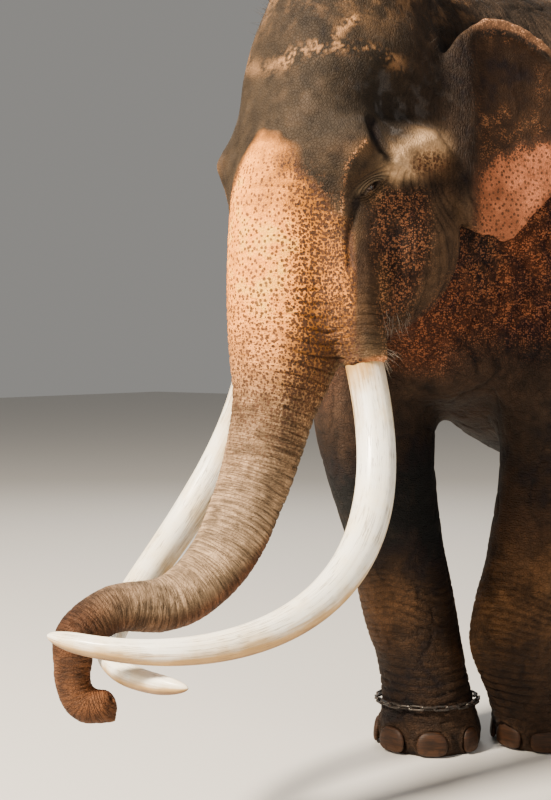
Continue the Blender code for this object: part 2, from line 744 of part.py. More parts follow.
def loose_parts(item, collection):
    """Splits an object into one object for each of its closed bodies."""
    bm = bmesh.new()
    bm.from_mesh(item.data)
    bm.verts.ensure_lookup_table()
    left = set(range(len(bm.verts)))
    pieces = []
    while left:
        stack = [left.pop()]
        found = set(stack)
        while stack:
            for edge in bm.verts[stack.pop()].link_edges:
                for vert in edge.verts:
                    if vert.index in left:
                        left.discard(vert.index)
                        found.add(vert.index)
                        stack.append(vert.index)
        piece = bm.copy()
        piece.verts.ensure_lookup_table()
        away = [vert for vert in piece.verts if vert.index not in found]
        bmesh.ops.delete(piece, geom=away, context="VERTS")
        pieces.append(object_from(piece, item.name, collection))
    bm.free()
    bpy.data.objects.remove(item)
    return pieces


def disc_cutter(name, point, normal, radius, collection):
    bm = bmesh.new()
    bmesh.ops.create_cone(bm, cap_ends=True, segments=24, radius1=radius, radius2=radius, depth=CUT)
    turn = Vector(normal).normalized().to_track_quat("Z", "Y").to_matrix().to_4x4()
    bm.transform(Matrix.Translation(point) @ turn)
    return object_from(bm, name, collection)


# Cuts that take the legs off the body: point, direction, radius of the cut.
LEG_CUTS = {
    "foreleg_right_upper": ((-0.33, -0.31, 1.21), (0.15, 0.05, 1.0), 0.36),
    "foreleg_left_upper": ((0.335, -0.01, 1.16), (-0.15, 0.05, 1.0), 0.36),
    "hindleg_right_upper": ((-0.37, 1.83, 1.22), (0.50, 0.0, 0.87), 0.50),
    "hindleg_left_upper": ((0.37, 1.83, 1.22), (-0.50, 0.0, 0.87), 0.50),
}


def nearest_piece(pieces, point):
    def distance(piece):
        return np.linalg.norm(coordinates(piece.data) - np.array(point), axis=1).min()
    return min(pieces, key=distance)


def part_flesh(flesh, parts, cutters):
    """Divides the flesh into named parts with thin cuts."""
    up = (0, 0, 1)
    for name, (point, normal, radius) in LEG_CUTS.items():
        boolean_cut(flesh, disc_cutter("cut_" + name, point, normal, radius, cutters))
    pieces = loose_parts(flesh, parts)
    for name, (point, normal, radius) in LEG_CUTS.items():
        x, y, _ = point
        leg = nearest_piece(pieces, (x, y, 0.7))
        leg.name = name
        pieces.remove(leg)
        fore = name.startswith("fore")
        knee = FORELEG_KNEE if fore else HINDLEG_KNEE
        lower = bisected(leg, (x, y, knee), (0, 0, -1), name.replace("upper", "lower"), parts)
        foot_name = name.replace("leg", "foot").replace("_upper", "")
        foot = bisected(lower, (x, y, ANKLE), (0, 0, -1), foot_name, parts)
        stand_flat(foot)
    (trunk_to_tail,) = pieces
    trunk_to_tail.name = "abdomen"
    front = bisected(trunk_to_tail, (0, 1.0, 2), (0, -1, 0), "thorax", parts)
    neck = bisected(front, (0, -0.32, 2.05), (0, -0.93, 0.36), "neck", parts)
    head = bisected(neck, (-0.06, -0.68, 2.25), (0, -0.93, 0.36), "head", parts)
    turn = HEAD.to_3x3()
    base = bisected(head, HEAD @ Vector((0, 0, -0.665)), turn @ Vector((0, 0, -1)), "trunk_base", parts)
    piece = base
    for name, row in TRUNK_CUTS.items():
        before, here, after = (Vector(TRUNK[index][:3]) for index in (row - 1, row, row + 1))
        piece = bisected(piece, HEAD @ here, turn @ (after - before), name, parts)
    bisected(head, HEAD @ Vector((0, 0.39, -0.42)), turn @ Vector((0, 0.69, -0.72)), "lower_jaw", parts)


def stand_flat(foot):
    """Takes off what lies below the floor, which leaves the flat of the sole."""
    bm = bmesh.new()
    bm.from_mesh(foot.data)
    everything = bm.verts[:] + bm.edges[:] + bm.faces[:]
    bmesh.ops.bisect_plane(bm, geom=everything, plane_co=(0, 0, 0), plane_no=(0, 0, -1),
                           clear_outer=True)
    bmesh.ops.holes_fill(bm, edges=[edge for edge in bm.edges if edge.is_boundary], sides=0)
    bm.to_mesh(foot.data)
    bm.free()


def swollen_copy(item, amount, name, collection):
    copy = bpy.data.objects.new(name, item.data.copy())
    collection.objects.link(copy)
    set_coordinates(copy.data, coordinates(copy.data) + normals(copy.data) * amount)
    return copy


# ---------------------------------------------------------------- materials
def material(name, colour, roughness, metallic=0.0):
    result = bpy.data.materials.new(name)
    result.use_nodes = True
    shader = result.node_tree.nodes["Principled BSDF"]
    shader.inputs["Base Color"].default_value = (*colour, 1.0)
    shader.inputs["Roughness"].default_value = roughness
    shader.inputs["Metallic"].default_value = metallic
    return result


def give_materials(parts):
    hide = material("hide", (0.13, 0.095, 0.075), 0.75)
    pink = material("pink_hide", (0.42, 0.26, 0.19), 0.7)
    ivory = material("ivory", (0.80, 0.74, 0.60), 0.35)
    horn = material("nail_horn", (0.33, 0.24, 0.17), 0.5)
    eye = material("eye", (0.05, 0.03, 0.02), 0.15)
    hair = material("tail_hair", (0.03, 0.025, 0.02), 0.6)
    steel = material("chain_steel", (0.12, 0.11, 0.10), 0.45, 1.0)
    kinds = [("tusk", ivory), ("nail", horn), ("eye", eye), ("tail_brush", hair),
             ("ankle_chain", steel), ("trunk", pink), ("ear", pink), ("head", pink)]
    for item in parts.objects:
        chosen = hide
        for start, candidate in kinds:
            if item.name.startswith(start):
                chosen = candidate
                break
        item.data.materials.clear()
        item.data.materials.append(chosen)


# ---------------------------------------------------------------- the whole animal
def build():
    clear_scene()
    parts = new_collection("asian_elephant")
    cutters = new_collection("cutters")
    flesh = flesh_object(parts)
    thin_out(flesh)
    swollen = swollen_copy(flesh, GAP, "swollen_flesh", cutters)
    eyes = eye_places(flesh)
    boolean_cut(flesh, pocket_cutter("pockets", eyes, cutters))

    for name in EAR_SPREAD:
        ear = ear_object(name, parts, rings=(0.45, 0.82, 1.0), spokes=24)
        boolean_cut(ear, swollen)
        keep_largest(ear)
    for name in TUSKS:
        tusk_object(name, parts)
    for name, place in eyes.items():
        bm = bmesh.new()
        add_ellipsoid(bm, BODY, place, [EYE_RADIUS] * 3, segments=10)
        object_from(bm, name, parts)
    for foot in FEET:
        for index, (place, turn, half_width) in enumerate(nail_places(foot)):
            bm = bmesh.new()
            add_nail(bm, place, turn, half_width, 0.0)
            object_from(bm, f"nail_{foot}_{index + 1}", parts)
    bm = bmesh.new()
    add_tube(bm, BODY, TAIL, steps=3, sides=8)
    tail = object_from(bm, "tail", parts)
    boolean_cut(tail, swollen)
    keep_largest(tail)
    bm = bmesh.new()
    add_tube(bm, BODY, TAIL_BRUSH, steps=2, sides=8)
    object_from(bm, "tail_brush", parts)
    chain_object(parts)
    part_flesh(flesh, parts, cutters)
    give_materials(parts)
    for item in list(parts.objects) + list(cutters.objects):
        item.data.transform(Matrix.Translation(ORIGIN_SHIFT))
    for item in parts.objects:
        item.data.shade_smooth()
        item.data.set_sharp_from_angle(angle=math.radians(40))


def thin_out(flesh):
    """Large triangles on the body, small ones where the shape is finer."""
    points = coordinates(flesh.data)
    body = ramp(points[:, 1], -0.80, -0.45) * ramp(points[:, 2], 0.70, 1.10)
    group = flesh.vertex_groups.new(name="thin")
    levels = np.round((FINE_SHARE + (1 - FINE_SHARE) * body) * 10).astype(int)
    for level in range(1, 11):
        group.add(np.flatnonzero(levels == level).tolist(), level / 10, "REPLACE")
    thin = flesh.modifiers.new("Decimate", "DECIMATE")
    thin.ratio = FLESH_TRIANGLES / (2 * len(flesh.data.polygons))
    thin.vertex_group = group.name
    thin.vertex_group_factor = 1.0
    applied(flesh)
    flesh.vertex_groups.clear()


def keep_largest(item):
    """Drops the scraps that a cut leaves on the far side."""
    name = item.name
    collection = item.users_collection[0]
    pieces = loose_parts(item, collection)
    largest = max(pieces, key=lambda piece: len(piece.data.vertices))
    for piece in pieces:
        if piece is not largest:
            bpy.data.objects.remove(piece)
    largest.name = name


if __name__ == "__main__":
    build()
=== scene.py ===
import math

import bmesh
import bpy
import numpy as np
from mathutils import Euler, Matrix, Vector


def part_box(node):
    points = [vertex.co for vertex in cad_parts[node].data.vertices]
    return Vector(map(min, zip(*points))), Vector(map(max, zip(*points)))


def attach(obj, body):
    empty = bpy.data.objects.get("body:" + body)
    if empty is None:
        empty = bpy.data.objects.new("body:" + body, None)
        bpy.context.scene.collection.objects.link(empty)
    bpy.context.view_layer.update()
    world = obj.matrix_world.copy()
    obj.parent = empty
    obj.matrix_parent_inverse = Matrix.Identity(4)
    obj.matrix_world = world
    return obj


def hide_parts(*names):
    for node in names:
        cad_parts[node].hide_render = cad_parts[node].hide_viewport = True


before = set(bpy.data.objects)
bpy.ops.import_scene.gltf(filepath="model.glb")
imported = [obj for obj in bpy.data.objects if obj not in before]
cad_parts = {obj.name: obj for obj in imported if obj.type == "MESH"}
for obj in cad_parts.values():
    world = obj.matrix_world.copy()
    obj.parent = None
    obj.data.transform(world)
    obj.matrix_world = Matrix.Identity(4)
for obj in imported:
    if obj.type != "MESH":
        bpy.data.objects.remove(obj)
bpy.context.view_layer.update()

from types import SimpleNamespace

# The looks of a standing Asian bull elephant. One skin with folds, wrinkles and freckles stands
# for all the nodes of flesh; tusks, eyes, nails, chain, bristles and tail brush are pieces of
# their own. Shapes are placed from a point between the forefeet, as in the CAD, and moved at the
# end. Metres, +Z up; the animal faces -Y and +X is its left. The head's frame is left, back, up.

# ---------------------------------------------------------------- the CAD's own dimensions
ORIGIN_SHIFT = Vector((0.011, -0.210, 0.0))
EYE_HEIGHT = 2.16
HEAD_POINT = Vector((-0.09, -1.21, EYE_HEIGHT))
HEAD_TURN = math.radians(-6.0)
HEAD = Matrix.Translation(HEAD_POINT) @ Matrix.Rotation(HEAD_TURN, 4, "Z")
BODY = Matrix.Identity(4)
EYE_RADIUS = 0.021
TUSK_RADIUS = 0.064
TUSK_ROOT = 0.12
FLESH_VOXEL = 0.016

TUSKS = {
    "tusk_left": dict(side=1, lip=(0.27, 0.08, -0.59), compass=97, slope=-75, plane=-20,
                      bend=(1.15, 1.85), twist=60, length=1.80),
    "tusk_right": dict(side=-1, lip=(-0.25, 0.08, -0.59), compass=-98, slope=-73, plane=8,
                       bend=(1.10, 1.90), twist=-62, length=1.88),
}

TRUNK = [
    (0.00, 0.18, 0.26, 0.150),
    (0.00, 0.04, 0.08, 0.205),
    (0.00, 0.00, -0.20, 0.215),
    (0.00, -0.03, -0.55, 0.192),
    (-0.01, -0.07, -0.74, 0.145),
    (-0.03, -0.15, -1.00, 0.123),
    (-0.04, -0.29, -1.23, 0.110),
    (-0.07, -0.48, -1.35, 0.092),
    (-0.12, -0.68, -1.35, 0.077),
    (-0.14, -0.81, -1.42, 0.071),
    (-0.135, -0.828, -1.50, 0.062),
    (-0.134, -0.833, -1.536, 0.058),
    (-0.131, -0.830, -1.570, 0.055),
    (-0.122, -0.824, -1.605, 0.053),
    (-0.107, -0.812, -1.630, 0.052),
    (-0.083, -0.793, -1.637, 0.050),
    (-0.060, -0.774, -1.626, 0.048),
    (-0.043, -0.760, -1.612, 0.043),
    (-0.033, -0.752, -1.602, 0.028),
]
TRUNK_FINGER = [
    (-0.072, -0.783, -1.652, 0.034),
    (-0.045, -0.762, -1.668, 0.021),
    (-0.020, -0.742, -1.666, 0.013),
]

TORSO = [
    (-0.56, 2.50, 1.80, 0.16),
    (-0.42, 2.92, 1.50, 0.34),
    (-0.14, 3.04, 1.32, 0.45),
    (0.25, 3.10, 1.16, 0.52),
    (0.65, 3.12, 1.08, 0.58),
    (1.05, 3.10, 1.08, 0.61),
    (1.45, 3.02, 1.10, 0.61),
    (1.80, 2.87, 1.18, 0.57),
    (2.10, 2.64, 1.35, 0.49),
    (2.33, 2.36, 1.57, 0.37),
    (2.46, 2.14, 1.75, 0.22),
    (2.51, 2.02, 1.88, 0.08),
]

NECK = [
    (0.00, 0.15, 2.23, 0.42, 0.76),
    (-0.01, -0.25, 2.28, 0.40, 0.74),
    (-0.05, -0.55, 2.37, 0.37, 0.66),
    (-0.07, -0.80, 2.43, 0.33, 0.55),
]

SKULL = [
    (0.94, 0.22, 0.40, 0.09),
    (0.84, 0.12, 0.50, 0.18),
    (0.68, 0.01, 0.60, 0.26),
    (0.48, -0.07, 0.67, 0.325),
    (0.33, -0.10, 0.70, 0.350),
    (0.18, -0.13, 0.70, 0.358),
    (0.04, -0.15, 0.68, 0.355),
    (-0.10, -0.14, 0.62, 0.335),
    (-0.26, -0.12, 0.54, 0.300),
    (-0.40, -0.08, 0.42, 0.240),
    (-0.47, 0.00, 0.34, 0.16),
]

FORELEG_RIGHT = [
    (-0.180, -0.140, -0.03, 0.190, 0.200),
    (-0.180, -0.140, 0.05, 0.213, 0.222),
    (-0.180, -0.145, 0.12, 0.198, 0.208),
    (-0.182, -0.160, 0.22, 0.183, 0.190),
    (-0.192, -0.185, 0.35, 0.178, 0.184),
    (-0.222, -0.225, 0.55, 0.190, 0.192),
    (-0.250, -0.255, 0.74, 0.194, 0.194),
    (-0.290, -0.290, 0.98, 0.210, 0.220),
    (-0.330, -0.315, 1.24, 0.230, 0.255),
    (-0.350, -0.300, 1.52, 0.240, 0.300),
    (-0.350, -0.200, 1.95, 0.200, 0.300),
    (-0.300, -0.100, 2.30, 0.120, 0.200),
]
FORELEG_LEFT = [
    (0.175, 0.200, -0.03, 0.185, 0.195),
    (0.175, 0.197, 0.05, 0.208, 0.218),
    (0.172, 0.160, 0.12, 0.196, 0.210),
    (0.170, 0.060, 0.23, 0.172, 0.184),
    (0.176, -0.025, 0.35, 0.180, 0.188),
    (0.190, -0.080, 0.48, 0.196, 0.200),
    (0.218, -0.080, 0.62, 0.198, 0.202),
    (0.255, -0.045, 0.80, 0.202, 0.208),
    (0.295, -0.020, 1.00, 0.214, 0.230),
    (0.335, -0.010, 1.22, 0.232, 0.262),
    (0.352, -0.040, 1.52, 0.240, 0.300),
    (0.350, -0.060, 1.95, 0.200, 0.300),
    (0.300, -0.060, 2.30, 0.120, 0.200),
]
HINDLEG = [
    (0.270, 1.920, -0.03, 0.160, 0.190),
    (0.270, 1.920, 0.05, 0.184, 0.215),
    (0.270, 1.935, 0.14, 0.166, 0.194),
    (0.272, 1.970, 0.28, 0.146, 0.160),
    (0.275, 1.985, 0.42, 0.152, 0.168),
    (0.285, 1.940, 0.60, 0.170, 0.194),
    (0.300, 1.870, 0.80, 0.192, 0.230),
    (0.320, 1.815, 1.00, 0.214, 0.270),
    (0.345, 1.825, 1.25, 0.232, 0.340),
    (0.360, 1.850, 1.52, 0.235, 0.400),
    (0.355, 1.860, 1.85, 0.225, 0.410),
    (0.320, 1.880, 2.25, 0.170, 0.320),
]
RIGHT_HIND_STEP = -0.17

TAIL = [
    (0.000, 2.42, 2.30, 0.075),
    (0.000, 2.52, 2.20, 0.058),
    (0.003, 2.565, 2.00, 0.047),
    (0.008, 2.570, 1.65, 0.037),
    (0.014, 2.560, 1.30, 0.029),
    (0.018, 2.545, 1.00, 0.023),
]

EAR_OUTLINE = [
    (-0.09, 0.49), (-0.02, 0.575), (0.09, 0.605), (0.22, 0.575), (0.38, 0.480), (0.52, 0.385),
    (0.61, 0.290), (0.605, 0.190), (0.52, 0.110), (0.38, 0.045), (0.27, -0.050), (0.165, -0.155),
    (0.06, -0.150), (-0.05, -0.085), (-0.09, 0.060), (-0.085, 0.280),
]
EAR_MIDDLE = (0.25, 0.27)
EAR_ROOT = (0.385, 0.495)
EAR_SPREAD = {"ear_left": math.radians(30), "ear_right": math.radians(36)}
EAR_HOLLOW = 0.045
EAR_RIM = 0.045
EAR_RIPPLE = 0.012
EAR_FRONT = 0.045

FEET = {
    "forefoot_right": ((-0.180, -0.142), 0.213, 0.222, -12, 5, 48),
    "forefoot_left": ((0.175, 0.192), 0.208, 0.218, -16, 5, 46),
    "hindfoot_right": ((-0.270, 1.750), 0.184, 0.215, -8, 4, 38),
    "hindfoot_left": ((0.270, 1.920), 0.184, 0.215, 8, 4, 38),
}
NAIL_THICKNESS = 0.016
NAIL_HEIGHT = 0.054
NAIL_HALF_HEIGHT = 0.049
NAIL_LEAN = -0.10
NAIL_SINK = 0.985
NAIL_HALF_WIDTHS = {5: (0.040, 0.058, 0.066, 0.062, 0.044), 4: (0.042, 0.054, 0.054, 0.042)}

CHAIN_LINKS = 26
CHAIN_WIRE = 0.005
CHAIN_LINK_WIDTH = 0.026
CHAIN_CENTRE = Vector((-0.182, -0.154, 0.190))
CHAIN_HALF_AXES = (0.203, 0.212)
CHAIN_SAG = 0.008
CHAIN_HIGHEST = math.radians(-52)

# ---------------------------------------------------------------- dimensions of the looks
EAR_BLANK = 0.042  # thickness of the ear while it is joined to the head
EAR_THIN = 0.42  # and the share of that which is left
EYE_MESH_REACHES = (0.085, 0.055)  # the mesh is split again within each of these of an eye
LID = 0.0035  # how far the lids stand over the eyeball
EYE_SLIT = 0.026  # half length of the eye's opening
EYE_OPEN = 0.0095  # half height of it
EYE_TILT = math.radians(-32)  # the slit drops towards the trunk
SLANT = (0.719, 0.695)  # cosine and sine of 44 degrees: a plane across the head's front and side
RING_PITCH = ([0.0, 0.6, 1.2, 1.8, 2.6], [0.060, 0.050, 0.032, 0.023, 0.015])  # along the trunk
LID_FOLDS = ((1.9, 0.22, 0.0042), (2.75, 0.26, 0.0060), (3.7, 0.32, 0.0050),
             (4.9, 0.38, 0.0034), (6.2, 0.44, 0.0026))  # place, width and depth of each
HAIR_PATCH = 0.003  # side of each hair's patch on the unwrap
NOSTRIL_FROM_MIDDLE = 0.012
NOSTRIL_RADII = (0.004, 0.010)  # of its floor and of its brink
NOSTRIL_DEPTH = 0.030
TUSK_STEPS = 190
TUSK_SIDES = 56
TAIL_HAIRS = 420
TAIL_HAIR_RADIUS = 0.0019

# Colours of the hide, linear.
PINK = (0.80, 0.275, 0.028)
PINK_LOW = (0.29, 0.135, 0.045)
PINK_LIMIT = ([-1.10, -0.60, -0.30, -0.10, 0.00, 0.06, 0.12, 0.16, 0.19, 0.25],
              [105, 100, 88, 68, 48, 35, 24, 10, -4, -70])
BROWN = (0.034, 0.018, 0.010)
BACK = (0.060, 0.038, 0.024)
LEG = (0.024, 0.011, 0.005)
LEG_PAINTED_SHADOW = (0.005, 0.003, 0.002)
ANKLE = (0.022, 0.012, 0.006)
KNEE_PALE_AND_LIT = (0.120, 0.056, 0.020)
RUST = (0.050, 0.013, 0.0045)
GREY = (0.026, 0.0165, 0.0085)
SIDE = (0.026, 0.013, 0.006)
CROWN = (0.040, 0.024, 0.013)
SCUFF = (0.36, 0.18, 0.075)
MOTTLE = (0.060, 0.034, 0.017)
PAINTED_SHADE = (0.011, 0.008, 0.006)
SHEEN = (0.060, 0.056, 0.055)
SOCKET = (0.070, 0.034, 0.013)
ABOVE_EYE = (0.024, 0.017, 0.011)
BONE_PALE = (0.54, 0.335, 0.175)
BROW = (0.066, 0.034, 0.014)
CREST = (0.30, 0.20, 0.115)
FURROW_SHADE = (0.018, 0.009, 0.004)
BELOW_BONE = (0.220, 0.105, 0.042)
CHEEK = (0.024, 0.010, 0.005)
CHEEK_GROOVE_SHADE = (0.012, 0.006, 0.003)
JOWL = (0.062, 0.034, 0.017)
SHEATH = (0.066, 0.034, 0.014)
COLLAR = (0.20, 0.125, 0.060)
LIP = (0.34, 0.13, 0.045)
TRUNK_HIGH = (0.170, 0.102, 0.045)
TRUNK_LOW = (0.33, 0.22, 0.130)
TRUNK_TOP = (0.36, 0.25, 0.155)
TRUNK_REAR_SHADE = (0.050, 0.029, 0.016)
TRUNK_RED = (0.120, 0.036, 0.012)
TRUNK_TIP = (0.042, 0.011, 0.0035)
EAR = (0.027, 0.012, 0.005)
EAR_ROOT_PAINTED_SHADE = (0.017, 0.008, 0.004)
EAR_PINK = (0.37, 0.120, 0.052)
EAR_RIM_PALE = (0.17, 0.085, 0.045)
LID_SKIN = (0.062, 0.038, 0.018)
LID_PALE = (0.19, 0.135, 0.080)
LID_CREASE_SHADE = (0.010, 0.006, 0.004)
LID_WET = (0.018, 0.011, 0.008)
DUST = (0.24, 0.15, 0.085)
SPECK_GLOW = (0.20, 0.075, 0.030)
FRECKLE_SHADES = ((0.045, 0.020, 0.010), (0.13, 0.052, 0.024))
FRECKLE_DARK = (0.017, 0.010, 0.006)
# Two sizes of freckle: cells to a metre, least and greatest radius in cells, a shift that parts
# the two patterns, and how much the radius grows where freckles are dense.
FRECKLES = ((52.0, 0.19, 0.29, 0.0, 0.10), (102.0, -0.26, 0.04, 3.7, 0.95))

# Colours of the other pieces, linear. A pair is the two ends that a mottling runs between.
IVORY = ((0.99, 0.96, 0.86), (0.97, 0.87, 0.64))
IVORY_STREAK = (0.56, 0.40, 0.22)
IVORY_STAIN = (0.46, 0.27, 0.085)
IVORY_ROOT = (0.19, 0.098, 0.038)
IVORY_CRACK = (0.12, 0.065, 0.03)
HORN = ((0.014, 0.006, 0.002), (0.040, 0.015, 0.005))
HORN_DUST = (0.056, 0.024, 0.010)
HORN_DARK = (0.012, 0.005, 0.003)
IRON = ((0.055, 0.050, 0.045), (0.030, 0.015, 0.009))
IRIS = ((0.022, 0.008, 0.004), (0.070, 0.026, 0.010))
PUPIL = (0.003, 0.002, 0.002)
IRIS_EDGE = (0.012, 0.006, 0.004)
EYE_WHITE = (0.020, 0.011, 0.008)
PALE_BRISTLE = ((0.42, 0.36, 0.28), (0.62, 0.56, 0.46))
DARK_BRISTLE = ((0.020, 0.014, 0.010), (0.070, 0.045, 0.030))
TAIL_BRISTLE = ((0.012, 0.009, 0.007), (0.045, 0.032, 0.024))

# Light: name, place, size, power and colour of each lamp, all turned to one point.
LAMPS = (("key", (-2.2, -7.8, 7.6), 1.7, 4500, (1.0, 0.87, 0.70)),
         ("fill", (7.0, -2.0, 3.0), 5.0, 210, (1.0, 0.93, 0.86)),
         ("back", (-5.0, 5.0, 6.5), 5.0, 320, (1.0, 0.98, 0.95)))
LIT_POINT = Vector((-0.1, -1.1, 1.6))
STUDIO = (1.0, 0.97, 0.92, 1)
STUDIO_STRENGTH = 0.27
CAMERA_AZIMUTH = math.radians(38)
CAMERA_PITCH = math.radians(-2.32)
CAMERA_PLACE = Vector((2.737, -4.906, 1.64))
CAMERA_LENS = 61.1


# ---------------------------------------------------------------- mesh tools
def object_from(bm, name):
    mesh = bpy.data.meshes.new(name)
    bm.to_mesh(mesh)
    bm.free()
    item = bpy.data.objects.new(name, mesh)
    bpy.context.scene.collection.objects.link(item)
    return item


def applied(item):
    graph = bpy.context.evaluated_depsgraph_get()
    graph.update()
    mesh = bpy.data.meshes.new_from_object(item.evaluated_get(graph))
    item.modifiers.clear()
    item.data = mesh
    return item


def smooth_rows(rows, steps):
    """Rows of numbers run through a Catmull-Rom spline, with steps between neighbours."""
    rows = np.array(rows, dtype=float)
    ends = np.vstack([2 * rows[0] - rows[1], rows, 2 * rows[-1] - rows[-2]])
    result = []
    for index in range(1, len(rows)):
        before, start, stop, after = ends[index - 1:index + 3]
        for step in range(steps):
            t = step / steps
            result.append(0.5 * (2 * start + (stop - before) * t
                                 + (2 * before - 5 * start + 4 * stop - after) * t ** 2
                                 + (3 * start - before - 3 * stop + after) * t ** 3))
    result.append(rows[-1])
    return np.array(result)


def merge(bm, part):
    mesh = bpy.data.meshes.new("merged")
    part.to_mesh(mesh)
    part.free()
    bm.from_mesh(mesh)
    bpy.data.meshes.remove(mesh)


def add_rings(bm, rings, closed=False):
    """A skin over rings of points; the ends are capped, or joined where the form is closed."""
    part = bmesh.new()
    loops = [[part.verts.new(point) for point in ring] for ring in rings]
    count = len(loops[0])
    pairs = list(zip(loops, loops[1:]))
    if closed:
        pairs.append((loops[-1], loops[0]))
    for lower, upper in pairs:
        for i in range(count):
            j = (i + 1) % count
            part.faces.new((lower[i], lower[j], upper[j], upper[i]))
    if not closed:
        part.faces.new(loops[0][::-1])
        part.faces.new(loops[-1])
    bmesh.ops.recalc_face_normals(part, faces=part.faces)
    merge(bm, part)


def circle(sides):
    """Cosine and sine of each corner of a polygon."""
    return [(math.cos(2 * math.pi * i / sides), math.sin(2 * math.pi * i / sides)) for i in range(sides)]


def bent(value, power):
    """A cosine or sine raised to a power with its sign kept, which squares or sharpens a round."""
    return math.copysign(abs(value) ** power, value)


def add_loft(bm, sections, sides=32, power=2.0):
    rings = []
    for centre, wide, high in sections:
        rings.append([centre + wide * bent(c, 2 / power) + high * bent(s, 2 / power)
                      for c, s in circle(sides)])
    add_rings(bm, rings)


def add_ellipsoid(bm, frame_of, centre, radii, turn=(0, 0, 0), segments=24):
    part = bmesh.new()
    bmesh.ops.create_uvsphere(part, u_segments=segments, v_segments=segments * 2 // 3, radius=1.0)
    part.transform(frame_of @ Matrix.LocRotScale(Vector(centre), Euler(turn), Vector(radii)))
    merge(bm, part)


def carried_frames(points, start):
    """Two directions across a line at each of its points, carried along without twist."""
    points = [Vector(point) for point in points]
    side = Vector(start)
    frames = []
    for index, point in enumerate(points):
        before = points[max(index - 1, 0)]
        after = points[min(index + 1, len(points) - 1)]
        along = (after - before).normalized()
        side = (side - side.dot(along) * along).normalized()
        frames.append((point, along, side, along.cross(side)))
    return frames


def ring_round(place, side, other, radius, sides):
    return [place + (side * c + other * s) * radius for c, s in circle(sides)]


def add_tube(bm, frame_of, rows, steps=4, sides=16, start=(1, 0.1, 0)):
    """A tube through rows of x, y, z and radius."""
    fine = smooth_rows(rows, steps)
    rings = []
    for (point, _, side, other), radius in zip(carried_frames(fine[:, :3], start), fine[:, 3]):
        rings.append([frame_of @ corner for corner in ring_round(point, side, other, radius, sides)])
    add_rings(bm, rings)


def coordinates(mesh):
    points = np.empty(len(mesh.vertices) * 3, dtype=np.float32)
    mesh.vertices.foreach_get("co", points)
    return points.reshape(-1, 3).astype(float)


def normals(mesh):
    result = np.empty(len(mesh.vertices) * 3, dtype=np.float32)
    mesh.vertex_normals.foreach_get("vector", result)
    return result.reshape(-1, 3).astype(float)


def set_coordinates(mesh, points):
    mesh.vertices.foreach_set("co", points.astype(np.float32).ravel())
    mesh.update()


def ramp(values, low, high):
    return np.clip((values - low) / (high - low), 0.0, 1.0)


def soft(values, low, high):
    """A ramp with soft ends."""
    t = ramp(values, low, high)
    return t * t * (3 - 2 * t)


def bump_at(points, centre, reach):
    """1 at the centre, fading out over the reach, which may differ by axis."""
    away = (points - np.array(centre)) / np.array(reach)
    return np.exp(-(away ** 2).sum(axis=1))


def noise(points, scale, seed=0):
    """Smooth noise from 0 to 1 with a grid of 1 / scale, which may differ by axis."""
    place = points * np.array(scale, dtype=float)
    cell = np.floor(place).astype(np.int64)
    t = place - cell
    t = t * t * (3 - 2 * t)
    total = np.zeros(len(points))
    for corner in range(8):
        step = np.array([corner & 1, corner >> 1 & 1, corner >> 2])
        weight = np.prod(np.where(step, t, 1 - t), axis=1)
        at = cell + step
        number = (at[:, 0] * 374761393 + at[:, 1] * 668265263 + at[:, 2] * 1440662683
                  + seed * 1274126177) & 0xFFFFFFFF
        number = ((number ^ (number >> 13)) * 1274126177) & 0xFFFFFFFF
        total += weight * ((number ^ (number >> 16)) & 0xFFFF) / 65535.0
    return total


def creases(points, scale, width, seed=0):
    """Lines, 1 in the middle of each, where noise passes its middle value."""
    value = noise(points, scale, seed) * 0.7 + noise(points, np.array(scale) * 2.1, seed + 7) * 0.3
    return np.exp(-((value - 0.5) / width) ** 2)


# ---------------------------------------------------------------- the flesh, as in the CAD
def tusk_line(side, lip, compass, slope, plane, bend, twist, length, steps=60):
    """Points of a tusk's centre line from the lip to the tip, in the head's frame."""
    compass, slope, plane, twist = (math.radians(value) for value in (compass, slope, plane, twist))
    point = Vector(lip)
    along = Vector((math.sin(compass) * math.cos(slope),
                    -math.cos(compass) * math.cos(slope),
                    math.sin(slope)))
    inward = Vector((0.0, -1.0, 0.0))
    inward = (inward - inward.dot(along) * along).normalized()
    inward = Matrix.Rotation(plane, 3, along) @ inward
    points = [point.copy()]
    step = length / steps
    for index in range(steps):
        part = (index + 0.5) / steps
        turn = (bend[0] + (bend[1] - bend[0]) * part) * step
        across = along.cross(inward)
        along = Matrix.Rotation(turn, 3, across) @ along
        inward = Matrix.Rotation(turn, 3, across) @ inward
        inward = Matrix.Rotation(twist * step, 3, along) @ inward
        point = point + along * step
        points.append(point)
    return points


def tusk_radius(part):
    taper = 1.0 - 0.58 * max(0.0, (part - 0.28) / 0.72) ** 1.15
    tip = math.sqrt(max(0.0, 1.0 - max(0.0, (part - 0.93) / 0.07) ** 2))
    return TUSK_RADIUS * taper * max(tip, 0.10)


def section_z(frame_of, x, y, z, wide, deep):
    turn = frame_of.to_3x3()
    return frame_of @ Vector((x, y, z)), turn @ Vector((wide, 0, 0)), turn @ Vector((0, deep, 0))


def add_leg(bm, rows):
    add_loft(bm, [section_z(BODY, *row) for row in smooth_rows(rows, 3)], power=2.1)


def hind_leg_rows(side):
    rows = []
    for x, y, z, wide, deep in HINDLEG:
        step = 0.0 if side > 0 else RIGHT_HIND_STEP * max(0.0, 1.0 - z / 1.7)
        rows.append((side * x, y + step, z, wide, deep))
    return rows


